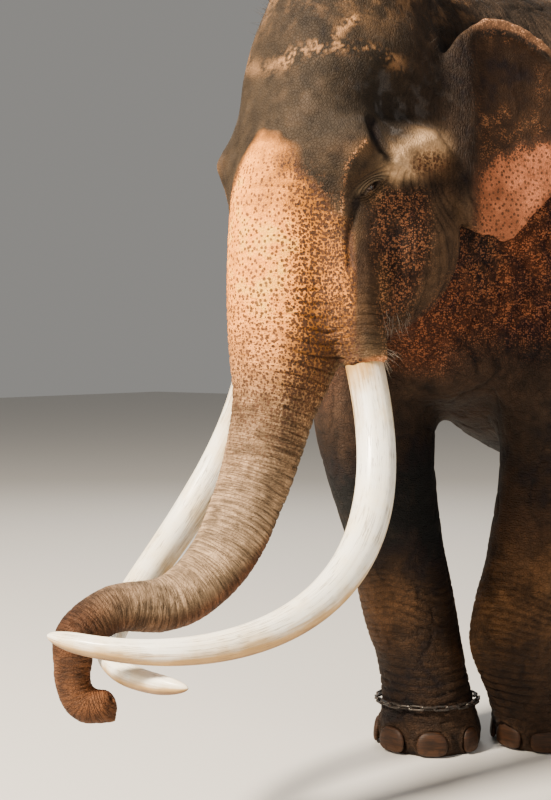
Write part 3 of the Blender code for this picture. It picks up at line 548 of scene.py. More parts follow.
def add_torso(bm):
    sections = []
    for y, top, bottom, wide in smooth_rows(TORSO, 3):
        centre = Vector((0, y, (top + bottom) / 2))
        sections.append((centre, Vector((wide, 0, 0)), Vector((0, 0, (top - bottom) / 2))))
    add_loft(bm, sections, sides=40)
    sections = []
    for x, y, z, wide, high in smooth_rows(NECK, 3):
        sections.append((Vector((x, y, z)), Vector((wide, 0, 0)), Vector((0, 0.12 * high, high))))
    add_loft(bm, sections)
    add_ellipsoid(bm, BODY, (0.0, -0.30, 1.72), (0.34, 0.26, 0.32))
    for side in (-1, 1):
        add_ellipsoid(bm, BODY, (side * 0.33, 0.00, 2.05), (0.24, 0.42, 0.62), (0.12, 0, 0))
        add_ellipsoid(bm, BODY, (side * 0.34, 1.86, 1.90), (0.26, 0.48, 0.58), (0.15, 0, 0))


def add_head(bm):
    sections = []
    for z, front, back, wide in smooth_rows(SKULL, 3):
        sections.append(section_z(HEAD, 0, (front + back) / 2, z, wide, (back - front) / 2))
    add_loft(bm, sections, sides=36, power=2.2)
    for side in (-1, 1):
        add_ellipsoid(bm, HEAD, (side * 0.125, 0.32, 0.69), (0.155, 0.25, 0.262))
        add_ellipsoid(bm, HEAD, (side * 0.215, 0.31, -0.10), (0.165, 0.28, 0.32), (0.2, 0, 0))
    for tusk in TUSKS.values():
        side = tusk["side"]
        left, back, up = tusk["lip"]
        sheath = [(side * 0.04, 0.14, 0.04, 0.08), (side * 0.14, 0.065, -0.12, 0.125),
                  (left - side * 0.060, back - 0.025, up + 0.29, 0.120),
                  (left - side * 0.025, back - 0.015, up + 0.15, 0.100),
                  (left - side * 0.008, back, up + 0.06, 0.088),
                  (left - side * 0.004, back + 0.002, up - 0.002, 0.078)]
        add_tube(bm, HEAD, sheath)
    for side in (-1, 1):
        jaw = [(side * 0.205, 0.38, -0.16, 0.135), (side * 0.20, 0.38, -0.29, 0.140),
               (side * 0.14, 0.34, -0.375, 0.115), (side * 0.03, 0.30, -0.46, 0.080),
               (0.0, 0.285, -0.525, 0.052)]
        add_tube(bm, HEAD, jaw)


FORMS = [
    (HEAD, (0.31, 0.01, 0.12), (0.105, 0.100, 0.090), 0.056),
    (HEAD, (0.37, 0.28, 0.165), (0.110, 0.090, 0.050), 0.062),
    (HEAD, (0.34, 0.15, 0.095), (0.100, 0.070, 0.050), 0.046),
    (HEAD, (0.31, 0.20, 0.285), (0.140, 0.150, 0.105), -0.088),
    (HEAD, (0.35, 0.085, -0.01), (0.060, 0.060, 0.075), -0.024),
    (HEAD, (0.32, 0.155, -0.22), (0.080, 0.045, 0.160), -0.036),
    (HEAD, (0.35, 0.40, -0.21), (0.120, 0.110, 0.150), 0.036),
    (HEAD, (0.36, 0.56, -0.16), (0.110, 0.045, 0.230), -0.038),
    (HEAD, (0.00, 0.13, 0.93), (0.090, 0.090, 0.090), -0.035),
    (HEAD, (0.00, 0.34, 0.97), (0.090, 0.090, 0.090), -0.035),
    (HEAD, (0.00, -0.12, 0.40), (0.120, 0.120, 0.120), -0.022),
    (BODY, (0.60, 0.50, 1.60), (0.280, 0.280, 0.280), -0.025),
    (BODY, (0.60, 1.42, 2.35), (0.250, 0.250, 0.250), -0.030),
]


def shape_forms(mesh):
    points = coordinates(mesh)
    outward = normals(mesh)
    for frame_of, centre, reach, height in FORMS:
        turn = np.array(frame_of.to_3x3())
        for side in ((-1, 1) if centre[0] else (1,)):
            at = np.array(frame_of @ Vector((side * centre[0], centre[1], centre[2])))
            away = (points - at) @ turn / np.array(reach)
            points += outward * (height * np.exp(-(away ** 2).sum(axis=1)))[:, None]
    set_coordinates(mesh, points)


# ---------------------------------------------------------------- ears
def ear_surface(u, v, ring, spoke):
    """How far the ear's sheet stands out from its plane."""
    across = np.clip(u / 0.6, 0.0, 1.0)
    hollow = EAR_HOLLOW * np.sin(math.pi * across) * np.cos(2.6 * (v - 0.25))
    flap = 0.05 * np.maximum(0.0, 0.12 - v) + EAR_RIPPLE * np.sin(9.0 * v + 4.0 * u)
    flap = flap + EAR_FRONT * (1 - ramp(u, -0.05, 0.15)) * ramp(-v, -0.30, 0.0)
    top = np.maximum(0.0, np.cos(spoke - 1.35)) ** 2
    rim = EAR_RIM * top * np.maximum(0.0, (ring - 0.86) / 0.14) ** 2
    return -hollow + flap + rim


def side_of(name):
    """1 for a left one of a pair, -1 for a right one."""
    return 1 if name.endswith("left") else -1


def ear_place(name, u, v, out):
    spread = EAR_SPREAD[name]
    x = EAR_ROOT[0] + math.sin(spread) * u + math.cos(spread) * out
    y = EAR_ROOT[1] + math.cos(spread) * u - math.sin(spread) * out
    return HEAD @ Vector((side_of(name) * x, y, v))


def ear_edge():
    return smooth_rows(EAR_OUTLINE + EAR_OUTLINE[:1], 8)[:-1]


def ear_coordinates(name, in_head):
    """Back, up and off the ear's sheet, with the share of the way to its edge."""
    spread = EAR_SPREAD[name]
    x = side_of(name) * in_head[:, 0] - EAR_ROOT[0]
    y = in_head[:, 1] - EAR_ROOT[1]
    u = x * math.sin(spread) + y * math.cos(spread)
    out = x * math.cos(spread) - y * math.sin(spread)
    v = in_head[:, 2]
    edge = ear_edge() - np.array(EAR_MIDDLE)
    angles = np.arctan2(edge[:, 1], edge[:, 0])
    order = np.argsort(angles)
    spoke = np.arctan2(v - EAR_MIDDLE[1], u - EAR_MIDDLE[0])
    limit = np.interp(spoke, angles[order], np.linalg.norm(edge, axis=1)[order], period=2 * math.pi)
    ring = np.hypot(u - EAR_MIDDLE[0], v - EAR_MIDDLE[1]) / limit
    return u, v, out - ear_surface(u, v, ring, spoke), ring


def on_sheet(u, off, ring):
    """1 on the free part of an ear while it is thick, 0 elsewhere."""
    near = (1 - ramp(np.abs(off), EAR_BLANK * 0.62, EAR_BLANK * 0.85)) * (1 - ramp(ring, 1.08, 1.15))
    return near * soft(u, -0.02, 0.07)


def add_ear(bm, name):
    """The ear as a thick sheet, which is thinned when it has grown onto the head."""
    edge = ear_edge()
    middle = np.array(EAR_MIDDLE)
    part = bmesh.new()
    rings = np.linspace(0.12, 1.0, 12)
    centre = part.verts.new(ear_place(name, *middle, float(ear_surface(*middle, 0.0, 0.0))))
    previous = None
    for ring in rings:
        loop = []
        for point in edge:
            u, v = middle + (point - middle) * ring
            spoke = math.atan2(v - middle[1], u - middle[0])
            loop.append(part.verts.new(ear_place(name, u, v, float(ear_surface(u, v, ring, spoke)))))
        for i in range(len(loop)):
            j = (i + 1) % len(loop)
            if previous:
                part.faces.new((previous[i], previous[j], loop[j], loop[i]))
            else:
                part.faces.new((centre, loop[j], loop[i]))
        previous = loop
    if name == "ear_right":
        bmesh.ops.reverse_faces(part, faces=part.faces)
    sheet = object_from(part, "ear_blank")
    solid = sheet.modifiers.new("Solidify", "SOLIDIFY")
    solid.thickness = EAR_BLANK
    solid.offset = 0.0
    applied(sheet)
    bm.from_mesh(sheet.data)
    bpy.data.objects.remove(sheet)


# ---------------------------------------------------------------- the skin's base mesh
def smooth_modifier(item, name, weights, factor, iterations):
    group = item.vertex_groups.new(name=name)
    levels = np.round(weights * 10).astype(int)
    for level in range(1, 11):
        group.add(np.flatnonzero(levels == level).tolist(), level / 10, "REPLACE")
    smooth = item.modifiers.new(name, "SMOOTH")
    smooth.factor = factor
    smooth.iterations = iterations
    smooth.vertex_group = group.name


def in_head_frame(points):
    matrix = np.array(HEAD.inverted())
    return points @ matrix[:3, :3].T + matrix[:3, 3]


def skin_base():
    """The flesh with ears and tail grown on, as one closed mesh of faces about 8 mm across."""
    bm = bmesh.new()
    add_torso(bm)
    add_head(bm)
    add_tube(bm, HEAD, TRUNK, sides=24)
    add_tube(bm, HEAD, TRUNK_FINGER, steps=3, sides=12)
    add_leg(bm, FORELEG_RIGHT)
    add_leg(bm, FORELEG_LEFT)
    add_leg(bm, hind_leg_rows(1))
    add_leg(bm, hind_leg_rows(-1))
    for name in EAR_SPREAD:
        add_ear(bm, name)
    add_tube(bm, BODY, TAIL, steps=3, sides=12)
    skin = object_from(bm, "skin")
    remesh = skin.modifiers.new("Remesh", "REMESH")
    remesh.mode = "VOXEL"
    remesh.voxel_size = FLESH_VOXEL
    applied(skin)
    points = coordinates(skin.data)
    body = ramp(points[:, 1], -0.75, -0.45) * ramp(points[:, 2], 0.45, 0.95)
    trunk = ramp(-points[:, 1], 0.9, 1.1) * ramp(-points[:, 2], -1.55, -1.25)
    ears = np.zeros(len(points))
    for name in EAR_SPREAD:
        u, _, off, ring = ear_coordinates(name, in_head_frame(points))
        ears = np.maximum(ears, on_sheet(u, off, ring))
    thin = np.maximum(ears, ramp(points[:, 1], 2.50, 2.53))
    smooth_modifier(skin, "wide", body * (1 - thin), 0.6, 70)
    smooth_modifier(skin, "fine", (1.0 - 0.85 * trunk) * (1 - 0.93 * thin), 0.5, 30)
    applied(skin)
    skin.vertex_groups.clear()
    shape_forms(skin.data)
    subdivide = skin.modifiers.new("Subdivision", "SUBSURF")
    subdivide.levels = 1
    subdivide.render_levels = 1
    applied(skin)
    return skin


def thin_ears(skin):
    points = coordinates(skin.data)
    in_head = in_head_frame(points)
    for name, spread in EAR_SPREAD.items():
        u, _, off, ring = ear_coordinates(name, in_head)
        turned = HEAD.to_3x3() @ Vector((side_of(name) * math.cos(spread), -math.sin(spread), 0))
        points += np.outer(off * (EAR_THIN - 1) * on_sheet(u, off, ring), np.array(turned))
    set_coordinates(skin.data, points)


# ---------------------------------------------------------------- where things are on the hide
def nearest_on_line(points, line):
    """For each point, the index of the nearest point of a line."""
    found = []
    for block in np.array_split(points, max(1, len(points) // 20000)):
        away = ((block ** 2).sum(axis=1)[:, None] - 2 * block @ line.T + (line ** 2).sum(axis=1)[None])
        found.append(away.argmin(axis=1))
    return np.concatenate(found)


def trunk_places(in_head):
    """Metres along the trunk, the angle round it from its front, positive to the left, and the
    distance from its middle line, as a share of its radius and in metres."""
    fine = smooth_rows(TRUNK, 10)
    frames = carried_frames(fine[:, :3], (0, -1, 0))
    line, along, front, right = (np.array([frame_at[i] for frame_at in frames]) for i in range(4))
    length = np.concatenate([[0.0], np.linalg.norm(np.diff(line, axis=0), axis=1).cumsum()])
    index = nearest_on_line(in_head, line)
    offset = in_head - line[index]
    place = length[index] + (offset * along[index]).sum(axis=1)
    across = (offset * front[index]).sum(axis=1)
    left = -(offset * right[index]).sum(axis=1)
    radial = np.hypot(across, left)
    return place, np.arctan2(left, across), radial / fine[index, 3], radial


def sheath_places(in_head):
    """Metres above the lip, distance from the tusk's line and angle round it, for the nearer tusk."""
    above = np.full(len(in_head), 9.0)
    off = np.full(len(in_head), 9.0)
    spin = np.zeros(len(in_head))
    for tusk in TUSKS.values():
        line = tusk_line(**tusk)
        down = np.array((line[1] - line[0]).normalized())
        offset = in_head - np.array(line[0])
        height = -offset @ down
        across = offset + np.outer(height, down)
        away = np.linalg.norm(across, axis=1)
        mine = (away < off) & (in_head[:, 0] * tusk["side"] > 0)
        above[mine] = height[mine]
        off[mine] = away[mine]
        spin[mine] = np.arctan2(across[mine, 0] * tusk["side"], -across[mine, 1])
    return above, off, spin


# What is noted of an ear: how much a point belongs to it, how far back and up on its sheet, the
# share of the way to its edge, and the height off the sheet.
EAR_KEYS = ("ear", "ear_u", "ear_v", "ear_ring", "ear_lift")


def survey(points):
    """Everything the relief and the colours need to know about each point of the hide."""
    at = SimpleNamespace(points=points)
    at.x, at.y, at.z = points.T
    in_head = in_head_frame(points)
    at.in_head = in_head
    at.hx, at.hy, at.hz = in_head.T
    at.wide = np.abs(at.hx)
    at.front = soft((at.y + 0.68) * -0.93 + (at.z - 2.25) * 0.36, -0.06, 0.08)
    at.along, at.around, at.off, at.radial = trunk_places(in_head)
    at.turned = np.degrees(np.abs(at.around))
    at.trunk = (1 - soft(at.off, 1.18, 1.45)) * (1 - soft(at.hz, 0.02, 0.30)) * (at.front > 0.5)
    at.above, at.from_tusk, at.tusk_spin = sheath_places(in_head)
    at.sheath = soft(at.above, -0.03, 0.01) * (1 - soft(at.above, 0.22, 0.42))
    at.sheath *= 1 - soft(at.from_tusk, 0.115, 0.16)
    for key in EAR_KEYS:
        setattr(at, key, np.zeros(len(points)))
    for name in EAR_SPREAD:
        u, v, lift, ring = ear_coordinates(name, in_head)
        near = (1 - soft(np.abs(lift), 0.022, 0.05)) * (1 - soft(ring, 1.05, 1.14)) * soft(u, -0.02, 0.07)
        near *= at.hx * side_of(name) > 0
        mine = near > 0
        for key, values in zip(EAR_KEYS, (near, u, v, ring, lift)):
            getattr(at, key)[mine] = values[mine]
    at.slant = SLANT[0] * at.wide + SLANT[1] * at.hy
    at.body = 1 - at.front
    at.leg = (1 - soft(at.z, 1.05, 1.40)) * (at.y > -0.78) * (1 - at.trunk)
    at.fore = at.y < 0.9
    return at


# Lines on the side of the head, as places between its front and its side, and heights.
BROW_LINE = [(0.240, 0.135), (0.210, 0.105), (0.188, 0.065), (0.176, 0.015), (0.168, -0.04),
             (0.160, -0.10)]
TEAR_LINE = [(0.232, -0.03), (0.212, -0.08), (0.200, -0.13), (0.193, -0.19), (0.196, -0.26)]
HOLLOW_LINE = [(0.272, 0.215), (0.285, 0.17), (0.303, 0.125), (0.322, 0.092)]
BONE_LINE = [(0.350, 0.078), (0.40, 0.098), (0.45, 0.126), (0.480, 0.150)]
BELOW_BONE_LINE = [(0.44, 0.085), (0.50, 0.10)]
CREST_LINE = [(0.304, 0.098), (0.325, 0.084), (0.350, 0.076), (0.39, 0.068)]
SCUFF_BAND = [(-0.02, 0.42), (0.10, 0.45), (0.20, 0.44), (0.36, 0.425)]
SCUFF_STREAK = [(0.10, 0.46), (0.21, 0.56)]


# ---------------------------------------------------------------- relief of the hide
def grooves(value, sharp=0.3):
    """Narrow furrows, 1 deep, where the value passes a whole number."""
    return np.exp(-(np.sin(math.pi * value) / sharp) ** 2)


def relief(at):
    """Height of the hide over its smooth form, in metres."""
    p = at.points
    drift = noise(p, 6, 3) - 0.5
    drift_fine = noise(p, 19, 4) - 0.5
    patchy = noise(p, 11, 5)

    def furrows(value, sharp, share, least=0.35):
        """Furrows that are shallower in places."""
        return grooves(value, sharp) * share * (least + (1 - least) * patchy)

    calm = np.maximum(at.ear, at.front)
    height = (noise(p, 3.3, 1) - 0.5) * 0.014 * (1 - calm)
    height += (noise(p, 13, 2) - 0.5) * (0.006 - 0.002 * calm)

    # A net of creases all over the body, finer on the legs.
    rest = (1 - at.trunk) * (1 - at.ear)
    height -= 0.0035 * creases(p, (7, 7, 5), 0.028, 11) * at.body * rest
    height -= 0.0022 * creases(p, (16, 16, 11), 0.050, 12) * rest * (0.45 + 0.55 * at.body)

    # Folds of the neck hang down, those of the throat run along.
    neck = soft(at.y, -1.0, -0.75) * (1 - soft(at.y, 0.05, 0.45)) * soft(at.z, 1.25, 1.6) * (1 - at.ear)
    value = (at.y + 0.20 * at.z + 0.16 * drift + 0.03 * drift_fine) / 0.085
    low_sides = soft(np.abs(at.x), 0.05, 0.22) * (1 - 0.75 * soft(at.z, 1.9, 2.5))
    height -= 0.009 * furrows(value, 0.30, neck * low_sides)
    value = (at.y + 0.1 * drift) / 0.030 + 0.8 * drift_fine
    height -= 0.0028 * furrows(value, 0.38, neck, 0.3)

    # Rings of the trunk, close together towards the tip.
    pitch = np.interp(at.along, *RING_PITCH)
    count = np.interp(at.along, *ring_count())
    value = count + 1.1 * drift + 0.30 * drift_fine + 0.12 * np.cos(2 * at.around)
    sides = 0.45 + 0.55 * soft(at.turned, 20, 80)
    sides *= 0.30 + 0.70 * soft(at.along, 0.45, 1.0)
    height -= (0.165 * pitch) * furrows(value, 0.30, at.trunk * sides, 0.45)
    value = count * 2.7 + 1.4 * drift + 0.7 * drift_fine
    lower = at.trunk * soft(at.along, 0.45, 1.1)
    height -= (0.050 * pitch) * furrows(value, 0.45, lower, 0.2)
    height += 0.0016 * (noise(p, 62, 14) - 0.5) * at.trunk * soft(at.along, 0.7, 1.2)

    # The sheath ends in a rounded collar, with rings above it.
    collar = bump_at(np.column_stack([at.above]), (0.012,), (0.018,)) * (at.from_tusk < 0.13)
    height += 0.005 * collar
    value = (at.above + 0.03 * drift) / 0.030
    height -= 0.0022 * grooves(value, 0.35) * at.sheath * soft(at.above, 0.025, 0.05)

    # The cheek is pleated from top to bottom, behind the eye and below it.
    cheek = at.front * rest * soft(at.hy, 0.03, 0.14) * (1 - soft(at.hz, 0.0, 0.16))
    cheek *= soft(at.wide, 0.15, 0.24) * (1 - at.sheath)
    value = (at.hy + 0.25 * at.hz + 0.10 * drift + 0.02 * drift_fine) / 0.034
    height -= 0.0060 * furrows(value, 0.32, cheek, 0.3)

    # A ridge runs down in front of each eye, a furrow behind it starts at the eye's corner, and a
    # hollow over the eye ends at the crest of the cheekbone.
    beside = at.front * (1 - at.ear) * soft(at.wide, 0.12, 0.18)
    for path, width, rise in ((BROW_LINE, 0.022, 0.006), (TEAR_LINE, 0.013, -0.010),
                              (HOLLOW_LINE, 0.019, -0.018), (CREST_LINE, 0.010, 0.006)):
        height += rise * near_path(at.slant, at.hz, path, width) * beside

    # Folds round the ankles, arched ones over the knees, slanting ones on the flanks, and the
    # tail's rings.
    ankle_folds = bump_at(np.column_stack([at.z]), (0.26,), (0.12,)) * at.leg
    value = (at.z + 0.035 * drift + 0.01 * drift_fine) / np.where(at.fore, 0.036, 0.042)
    height -= 0.0110 * furrows(value, 0.34, ankle_folds)
    knee_height = np.where(at.fore, 0.60, 0.86)
    knee = np.exp(-((at.z - knee_height) / 0.20) ** 2) * at.leg
    middle = np.where(at.x > 0, 0.20, -0.22)
    arch = 1.6 * (at.x - middle) ** 2
    value = (at.z + arch + 0.05 * drift + 0.012 * drift_fine) / 0.027
    height -= 0.0080 * furrows(value, 0.36, knee)
    flank = soft(at.y, -0.1, 0.3) * soft(at.z, 1.1, 1.5) * (1 - soft(at.z, 2.2, 2.7))
    value = (at.y * 0.5 + at.z * 0.9 + 0.28 * drift + 0.04 * drift_fine) / 0.11
    height -= 0.0045 * furrows(value, 0.26, flank, 0.2)
    tail = soft(at.y, 2.50, 2.54) * at.body
    height -= 0.0016 * grooves((at.z + 0.06 * drift) / 0.036, 0.4) * tail

    # Veins stand out on the ears.
    sheet = np.column_stack([at.ear_u, at.ear_v, at.ear_v * 0])
    height += 0.0022 * creases(sheet, (8, 14, 1), 0.05, 21) * at.ear
    return height


def ring_count():
    """Places along the trunk and how many rings come before each."""
    place = np.linspace(0.0, 3.2, 65)
    pitch = np.interp(place, *RING_PITCH)
    return place, np.concatenate([[0.0], (np.diff(place) / pitch[1:]).cumsum()])


def eye_local(in_head, name, eye):
    """Along the eye's opening towards the back, across it upwards, and outwards."""
    offset = in_head - np.array(HEAD.inverted() @ eye)
    y, z = offset[:, 1], offset[:, 2]
    tilt = -EYE_TILT
    return (y * math.cos(tilt) + z * math.sin(tilt), z * math.cos(tilt) - y * math.sin(tilt),
            offset[:, 0] * side_of(name))


def shape_eyes(skin, eyes):
    """Lids that close round each ball, folds over and under them, and the tear groove."""
    points = coordinates(skin.data)
    in_head = in_head_frame(points)
    outwards = np.array(HEAD.to_3x3() @ Vector((1, 0, 0)))
    for name, eye in eyes.items():
        a, b, out = eye_local(in_head, name, eye)
        near = (np.hypot(a, b) < 0.16) & (out > -0.10)
        a, b, start = a[near], b[near], out[near]
        reach = np.hypot(a, b)
        out = start.copy()
        ball = EYE_RADIUS + LID
        dome = ball - reach ** 2 / (1.7 * ball)
        blend = 0.5 * (out + dome + np.sqrt((out - dome) ** 2 + 0.006 ** 2))
        out += (blend - out) * (1 - soft(reach, 0.022, 0.045))
        opening = lid_edge(a, b)
        folds = np.exp(-(reach / 0.075) ** 4)
        for place, width, depth in LID_FOLDS:
            wobble = 0.25 * np.sin(38 * a + place)
            out -= depth * np.exp(-((opening - place - wobble) / width) ** 2) * folds
        rim = np.exp(-((opening - 1.22) / 0.20) ** 2)
        out += 0.0012 * rim
        inside = 1 - soft(opening, 0.92, 1.06)
        floor = np.sqrt(np.maximum(EYE_RADIUS ** 2 - reach ** 2, 0.0)) - 0.006
        out += (floor - out) * inside
        corner = a + EYE_SLIT * 0.95
        groove = np.exp(-((b - 0.25 * corner) / 0.0045) ** 2)
        out -= 0.0042 * groove * soft(-corner, -0.002, 0.006) * (1 - soft(-corner, 0.045, 0.085))
        points[near] += np.outer((out - start) * side_of(name), outwards)
    set_coordinates(skin.data, points)


def lid_edge(a, b):
    """1 on the edge of the eye's opening, more outside it and less inside."""
    half = np.where(b > 0, EYE_OPEN, EYE_OPEN * 0.72)
    across = np.clip(np.abs(a) / EYE_SLIT, 0, 3)
    return (across ** 1.8 + (np.abs(b) / half) ** 1.6) ** (1 / 1.7)


def shape_tip(skin):
    """Two nostrils in the end of the trunk."""
    points = coordinates(skin.data)
    in_head = in_head_frame(points)
    end, before = Vector(TRUNK[-1][:3]), Vector(TRUNK[-2][:3])
    along = (end - before).normalized()
    up = (Vector((0, 0, 1)) - along * along.z).normalized()
    sideways = along.cross(up)
    for sign in (-1, 1):
        across = in_head - np.array(end + sideways * (sign * NOSTRIL_FROM_MIDDLE))
        depth = across @ np.array(along)
        away = np.linalg.norm(across - np.outer(depth, np.array(along)), axis=1)
        pit = (1 - soft(away, *NOSTRIL_RADII)) * soft(depth, -0.02, 0.0)
        points -= np.outer(NOSTRIL_DEPTH * pit, np.array(HEAD.to_3x3() @ along))
    set_coordinates(skin.data, points)


def shape_cuticles(at, height):
    """A soft roll of skin round each nail."""
    for foot in FEET:
        for place, turn, half_width in nail_places(foot):
            across = Vector((math.cos(turn), math.sin(turn), 0))
            offset = at.points - np.array(place)
            near = np.linalg.norm(offset, axis=1) < 0.14
            sideways = offset[near] @ np.array(across)
            edge = np.hypot(sideways / half_width, offset[near][:, 2] / NAIL_HALF_HEIGHT)
            height[near] += 0.006 * np.exp(-((edge - 1.18) / 0.16) ** 2)
            height[near] -= 0.004 * (1 - soft(edge, 0.75, 1.0))
    return height


def nail_places(foot):
    """Centre, turn and half width of each nail of a foot."""
    (x, y), wide, deep, toes, count, spacing = FEET[foot]
    places = []
    for index in range(count):
        turn = math.radians(toes + (index - (count - 1) / 2) * spacing)
        across = wide * NAIL_SINK * math.sin(turn)
        forward = deep * NAIL_SINK * math.cos(turn)
        place = Vector((x + across, y - forward, NAIL_HEIGHT))
        places.append((place, turn, NAIL_HALF_WIDTHS[count][index]))
    return places


def refine(skin, wanted):
    """Splits the faces whose middles a function picks into four."""
    mesh = skin.data
    middles = np.empty(len(mesh.polygons) * 3, dtype=np.float32)
    mesh.polygons.foreach_get("center", middles)
    chosen = np.flatnonzero(wanted(middles.reshape(-1, 3).astype(float)))
    bm = bmesh.new()
    bm.from_mesh(mesh)
    bm.faces.ensure_lookup_table()
    edges = set()
    for index in chosen:
        edges.update(bm.faces[index].edges)
    bmesh.ops.subdivide_edges(bm, edges=list(edges), cuts=1, use_grid_fill=True)
    bm.to_mesh(mesh)
    bm.free()


def fine_places(points, eyes):
    """Where the hide needs faces of about 4 mm: trunk, sheaths, round the eyes and the toes."""
    in_head = in_head_frame(points)
    off = trunk_places(in_head)[2]
    trunk = (off < 1.3) & (in_head[:, 2] < 0.25) & (in_head[:, 1] < 0.3)
    above, from_tusk, _ = sheath_places(in_head)
    sheath = (from_tusk < 0.16) & (above > -0.05) & (above < 0.35)
    toes = (points[:, 2] < 0.15) & (points[:, 1] > -0.6)
    return trunk | sheath | toes | (eye_distance(points, eyes) < 0.20)


def eye_distance(points, eyes):
    """Distance to the nearer eye's middle."""
    return np.min([np.linalg.norm(points - np.array(eye), axis=1) for eye in eyes.values()], axis=0)


# ---------------------------------------------------------------- colours of the hide
def mixed(base, colour, share):
    return base + (np.array(colour) - base) * np.clip(share, 0, 1)[:, None]


def painted(tint, *layers):
    """Coats of colour, each laid on by its share."""
    for colour, share in layers:
        tint = mixed(tint, colour, share)
    return tint


def near_path(across, up, path, width):
    """1 on a line through points of a plane, fading out over a width."""
    least = np.full(len(across), 9.0)
    for (x, z), (next_x, next_z) in zip(path, path[1:]):
        run, rise = next_x - x, next_z - z
        part = np.clip(((across - x) * run + (up - z) * rise) / (run ** 2 + rise ** 2), 0, 1)
        least = np.minimum(least, np.hypot(across - x - part * run, up - z - part * rise))
    return np.exp(-(least / width) ** 2)


def body_colours(at, large):
    """Brown body and legs, with a rusty breast, paler knees with painted light on the left one, and
    painted shadow on the right foreleg.
    """
    tint = np.tile(np.array(BROWN), (len(at.points), 1))
    back = np.maximum(soft(at.z, 1.9, 2.8), soft(at.y, 0.2, 0.9)) * at.body
    fore = at.leg * at.fore
    # Painted shadow over the upper part of the right foreleg.
    painted_shadow = fore * (at.x < -0.03) * soft(at.z, 0.50, 0.85)
    low = (1 - soft(at.z, 0.10, 0.55)) * at.leg * (0.5 + large)
    # Paler knees, with painted light on the left one.
    pale_and_lit_knees = np.exp(-((at.z - 0.60) / 0.22) ** 2) * fore * (0.35 + 0.65 * (at.x > 0)) * (0.8 + large)
    breast = at.body * soft(-at.y, -0.25, 0.25) * soft(at.z + 0.4 * large, 1.42, 1.72)
    breast *= (1 - soft(at.z, 2.1, 2.5)) * (0.35 + 0.65 * soft(at.x, -0.25, 0.05))
    tint = painted(tint, (LEG, at.leg), (BACK, back), (LEG, fore), (LEG_PAINTED_SHADOW, 0.95 * painted_shadow),
                   (ANKLE, 0.6 * low), (KNEE_PALE_AND_LIT, 0.95 * pale_and_lit_knees), (RUST, 0.9 * breast))
    return tint, breast


def head_colours(at, tint, large, small):
    """Grey forehead with pale scuffs, pale cheekbones, brown cheeks and sheaths, and painted shade
    in the temples, furrows and grooves, with a painted sheen on the temples.
    """
    p = at.points
    head = at.front
    slant, up = at.slant, at.hz
    lateral = np.column_stack([at.wide, at.hy, at.hz])
    # Painted shade where the ear joins the head.
    root = soft(at.hy, 0.38, 0.46) * (1 - soft(at.hy, 0.72, 0.85)) * soft(at.wide, 0.20, 0.30)
    root *= (up > -0.6) * (up < 0.55)
    worn = noise(p, 120, 35)
    crown = soft(up, 0.46, 0.75) * head * soft(0.5 + 0.6 * small + 0.5 * worn, 0.70, 1.0)
    rub = near_path(slant, up + 0.05 * large, SCUFF_BAND, 0.024) + near_path(slant, up, SCUFF_STREAK, 0.016)
    rub *= (0.25 + 0.75 * soft(at.hx, -0.06, 0.04)) * head
    rub *= soft(0.5 * small + 0.3 * large + 0.55 * worn, 0.16, 0.40)
    mottle = head * soft(up, 0.10, 0.20) * soft(small + 0.5 * large, 0.06, 0.30) * soft(at.hx, -0.12, 0.05)
    blotched = lateral + 0.13 * large[:, None] + 0.05 * small[:, None]
    # Painted shade in the temple hollow, with a painted sheen of pale grey in patches over it.
    temple = bump_at(blotched, (0.31, 0.20, 0.275), (0.20, 0.20, 0.150))
    sheen = soft(0.6 * small + 0.5 * (noise(p, 60, 37) - 0.5), 0.02, 0.22)
    socket = bump_at(lateral, (0.35, 0.03, 0.01), (0.12, 0.055, 0.045))
    above_eye = bump_at(lateral, (0.30, 0.00, 0.20), (0.12, 0.09, 0.060))
    bone = near_path(slant + 0.02 * large, up + 0.03 * small, BONE_LINE, 0.046)
    bone *= soft(at.wide, 0.20, 0.28) * (0.95 + 0.3 * small + 0.4 * (worn - 0.5))
    brow = bump_at(lateral, (0.33, 0.0, 0.115), (0.10, 0.10, 0.035))
    crest = near_path(slant, up, CREST_LINE, 0.009) + 0.5 * near_path(slant, up, CREST_LINE, 0.022)
    # Painted shade along the furrow over the eye and along the tear groove.
    hollow = near_path(slant, up, HOLLOW_LINE, 0.016) + 0.7 * near_path(slant, up, TEAR_LINE, 0.011)
    below = near_path(slant, up, BELOW_BONE_LINE, 0.040)
    cheek = head * (1 - at.trunk) * (1 - soft(up, -0.04, 0.04)) * soft(at.hy, 0.02, 0.13)
    jowl = cheek * soft(at.hy, 0.25, 0.33) * (1 - soft(at.hy, 0.48, 0.56)) * soft(up, -0.62, -0.40)
    # Painted shade in the groove beside the cheek.
    cheek_groove_shade = bump_at(lateral, (0.32, 0.16, -0.20), (0.14, 0.05, 0.20))
    collar = at.sheath * (1 - soft(at.above + 0.04 * small, 0.05, 0.13))
    lip = at.sheath * (1 - soft(at.above, 0.006, 0.022))
    return painted(
        tint, (GREY, head * (1 - soft(at.hy, 0.18, 0.45)) * soft(up, -0.2, 0.05)),
        (SIDE, head * soft(at.hy, 0.12, 0.36)), (EAR_ROOT_PAINTED_SHADE, 0.9 * root),
        (CROWN, 0.4 * soft(up, 0.40, 0.70) * head), (SCUFF, 0.30 * crown), (SCUFF, 1.2 * rub),
        (MOTTLE, 0.25 * mottle), (PAINTED_SHADE, 1.25 * temple * head * (0.75 + 0.9 * small)),
        (SHEEN, 0.6 * np.clip(temple, 0, 1) * sheen * head), (SOCKET, 0.9 * socket * head),
        (ABOVE_EYE, 0.9 * above_eye * head), (BONE_PALE, 1.7 * bone * head), (BROW, 0.8 * brow * head),
        (CREST, 0.55 * crest * head), (FURROW_SHADE, 0.8 * hollow * head), (BELOW_BONE, 0.75 * below * head),
        (CHEEK, cheek), (CHEEK_GROOVE_SHADE, 0.9 * cheek_groove_shade * head), (JOWL, 0.9 * jowl),
        (SHEATH, 0.85 * at.sheath * (0.7 + large)), (COLLAR, 0.3 * collar), (LIP, 0.85 * lip)), cheek


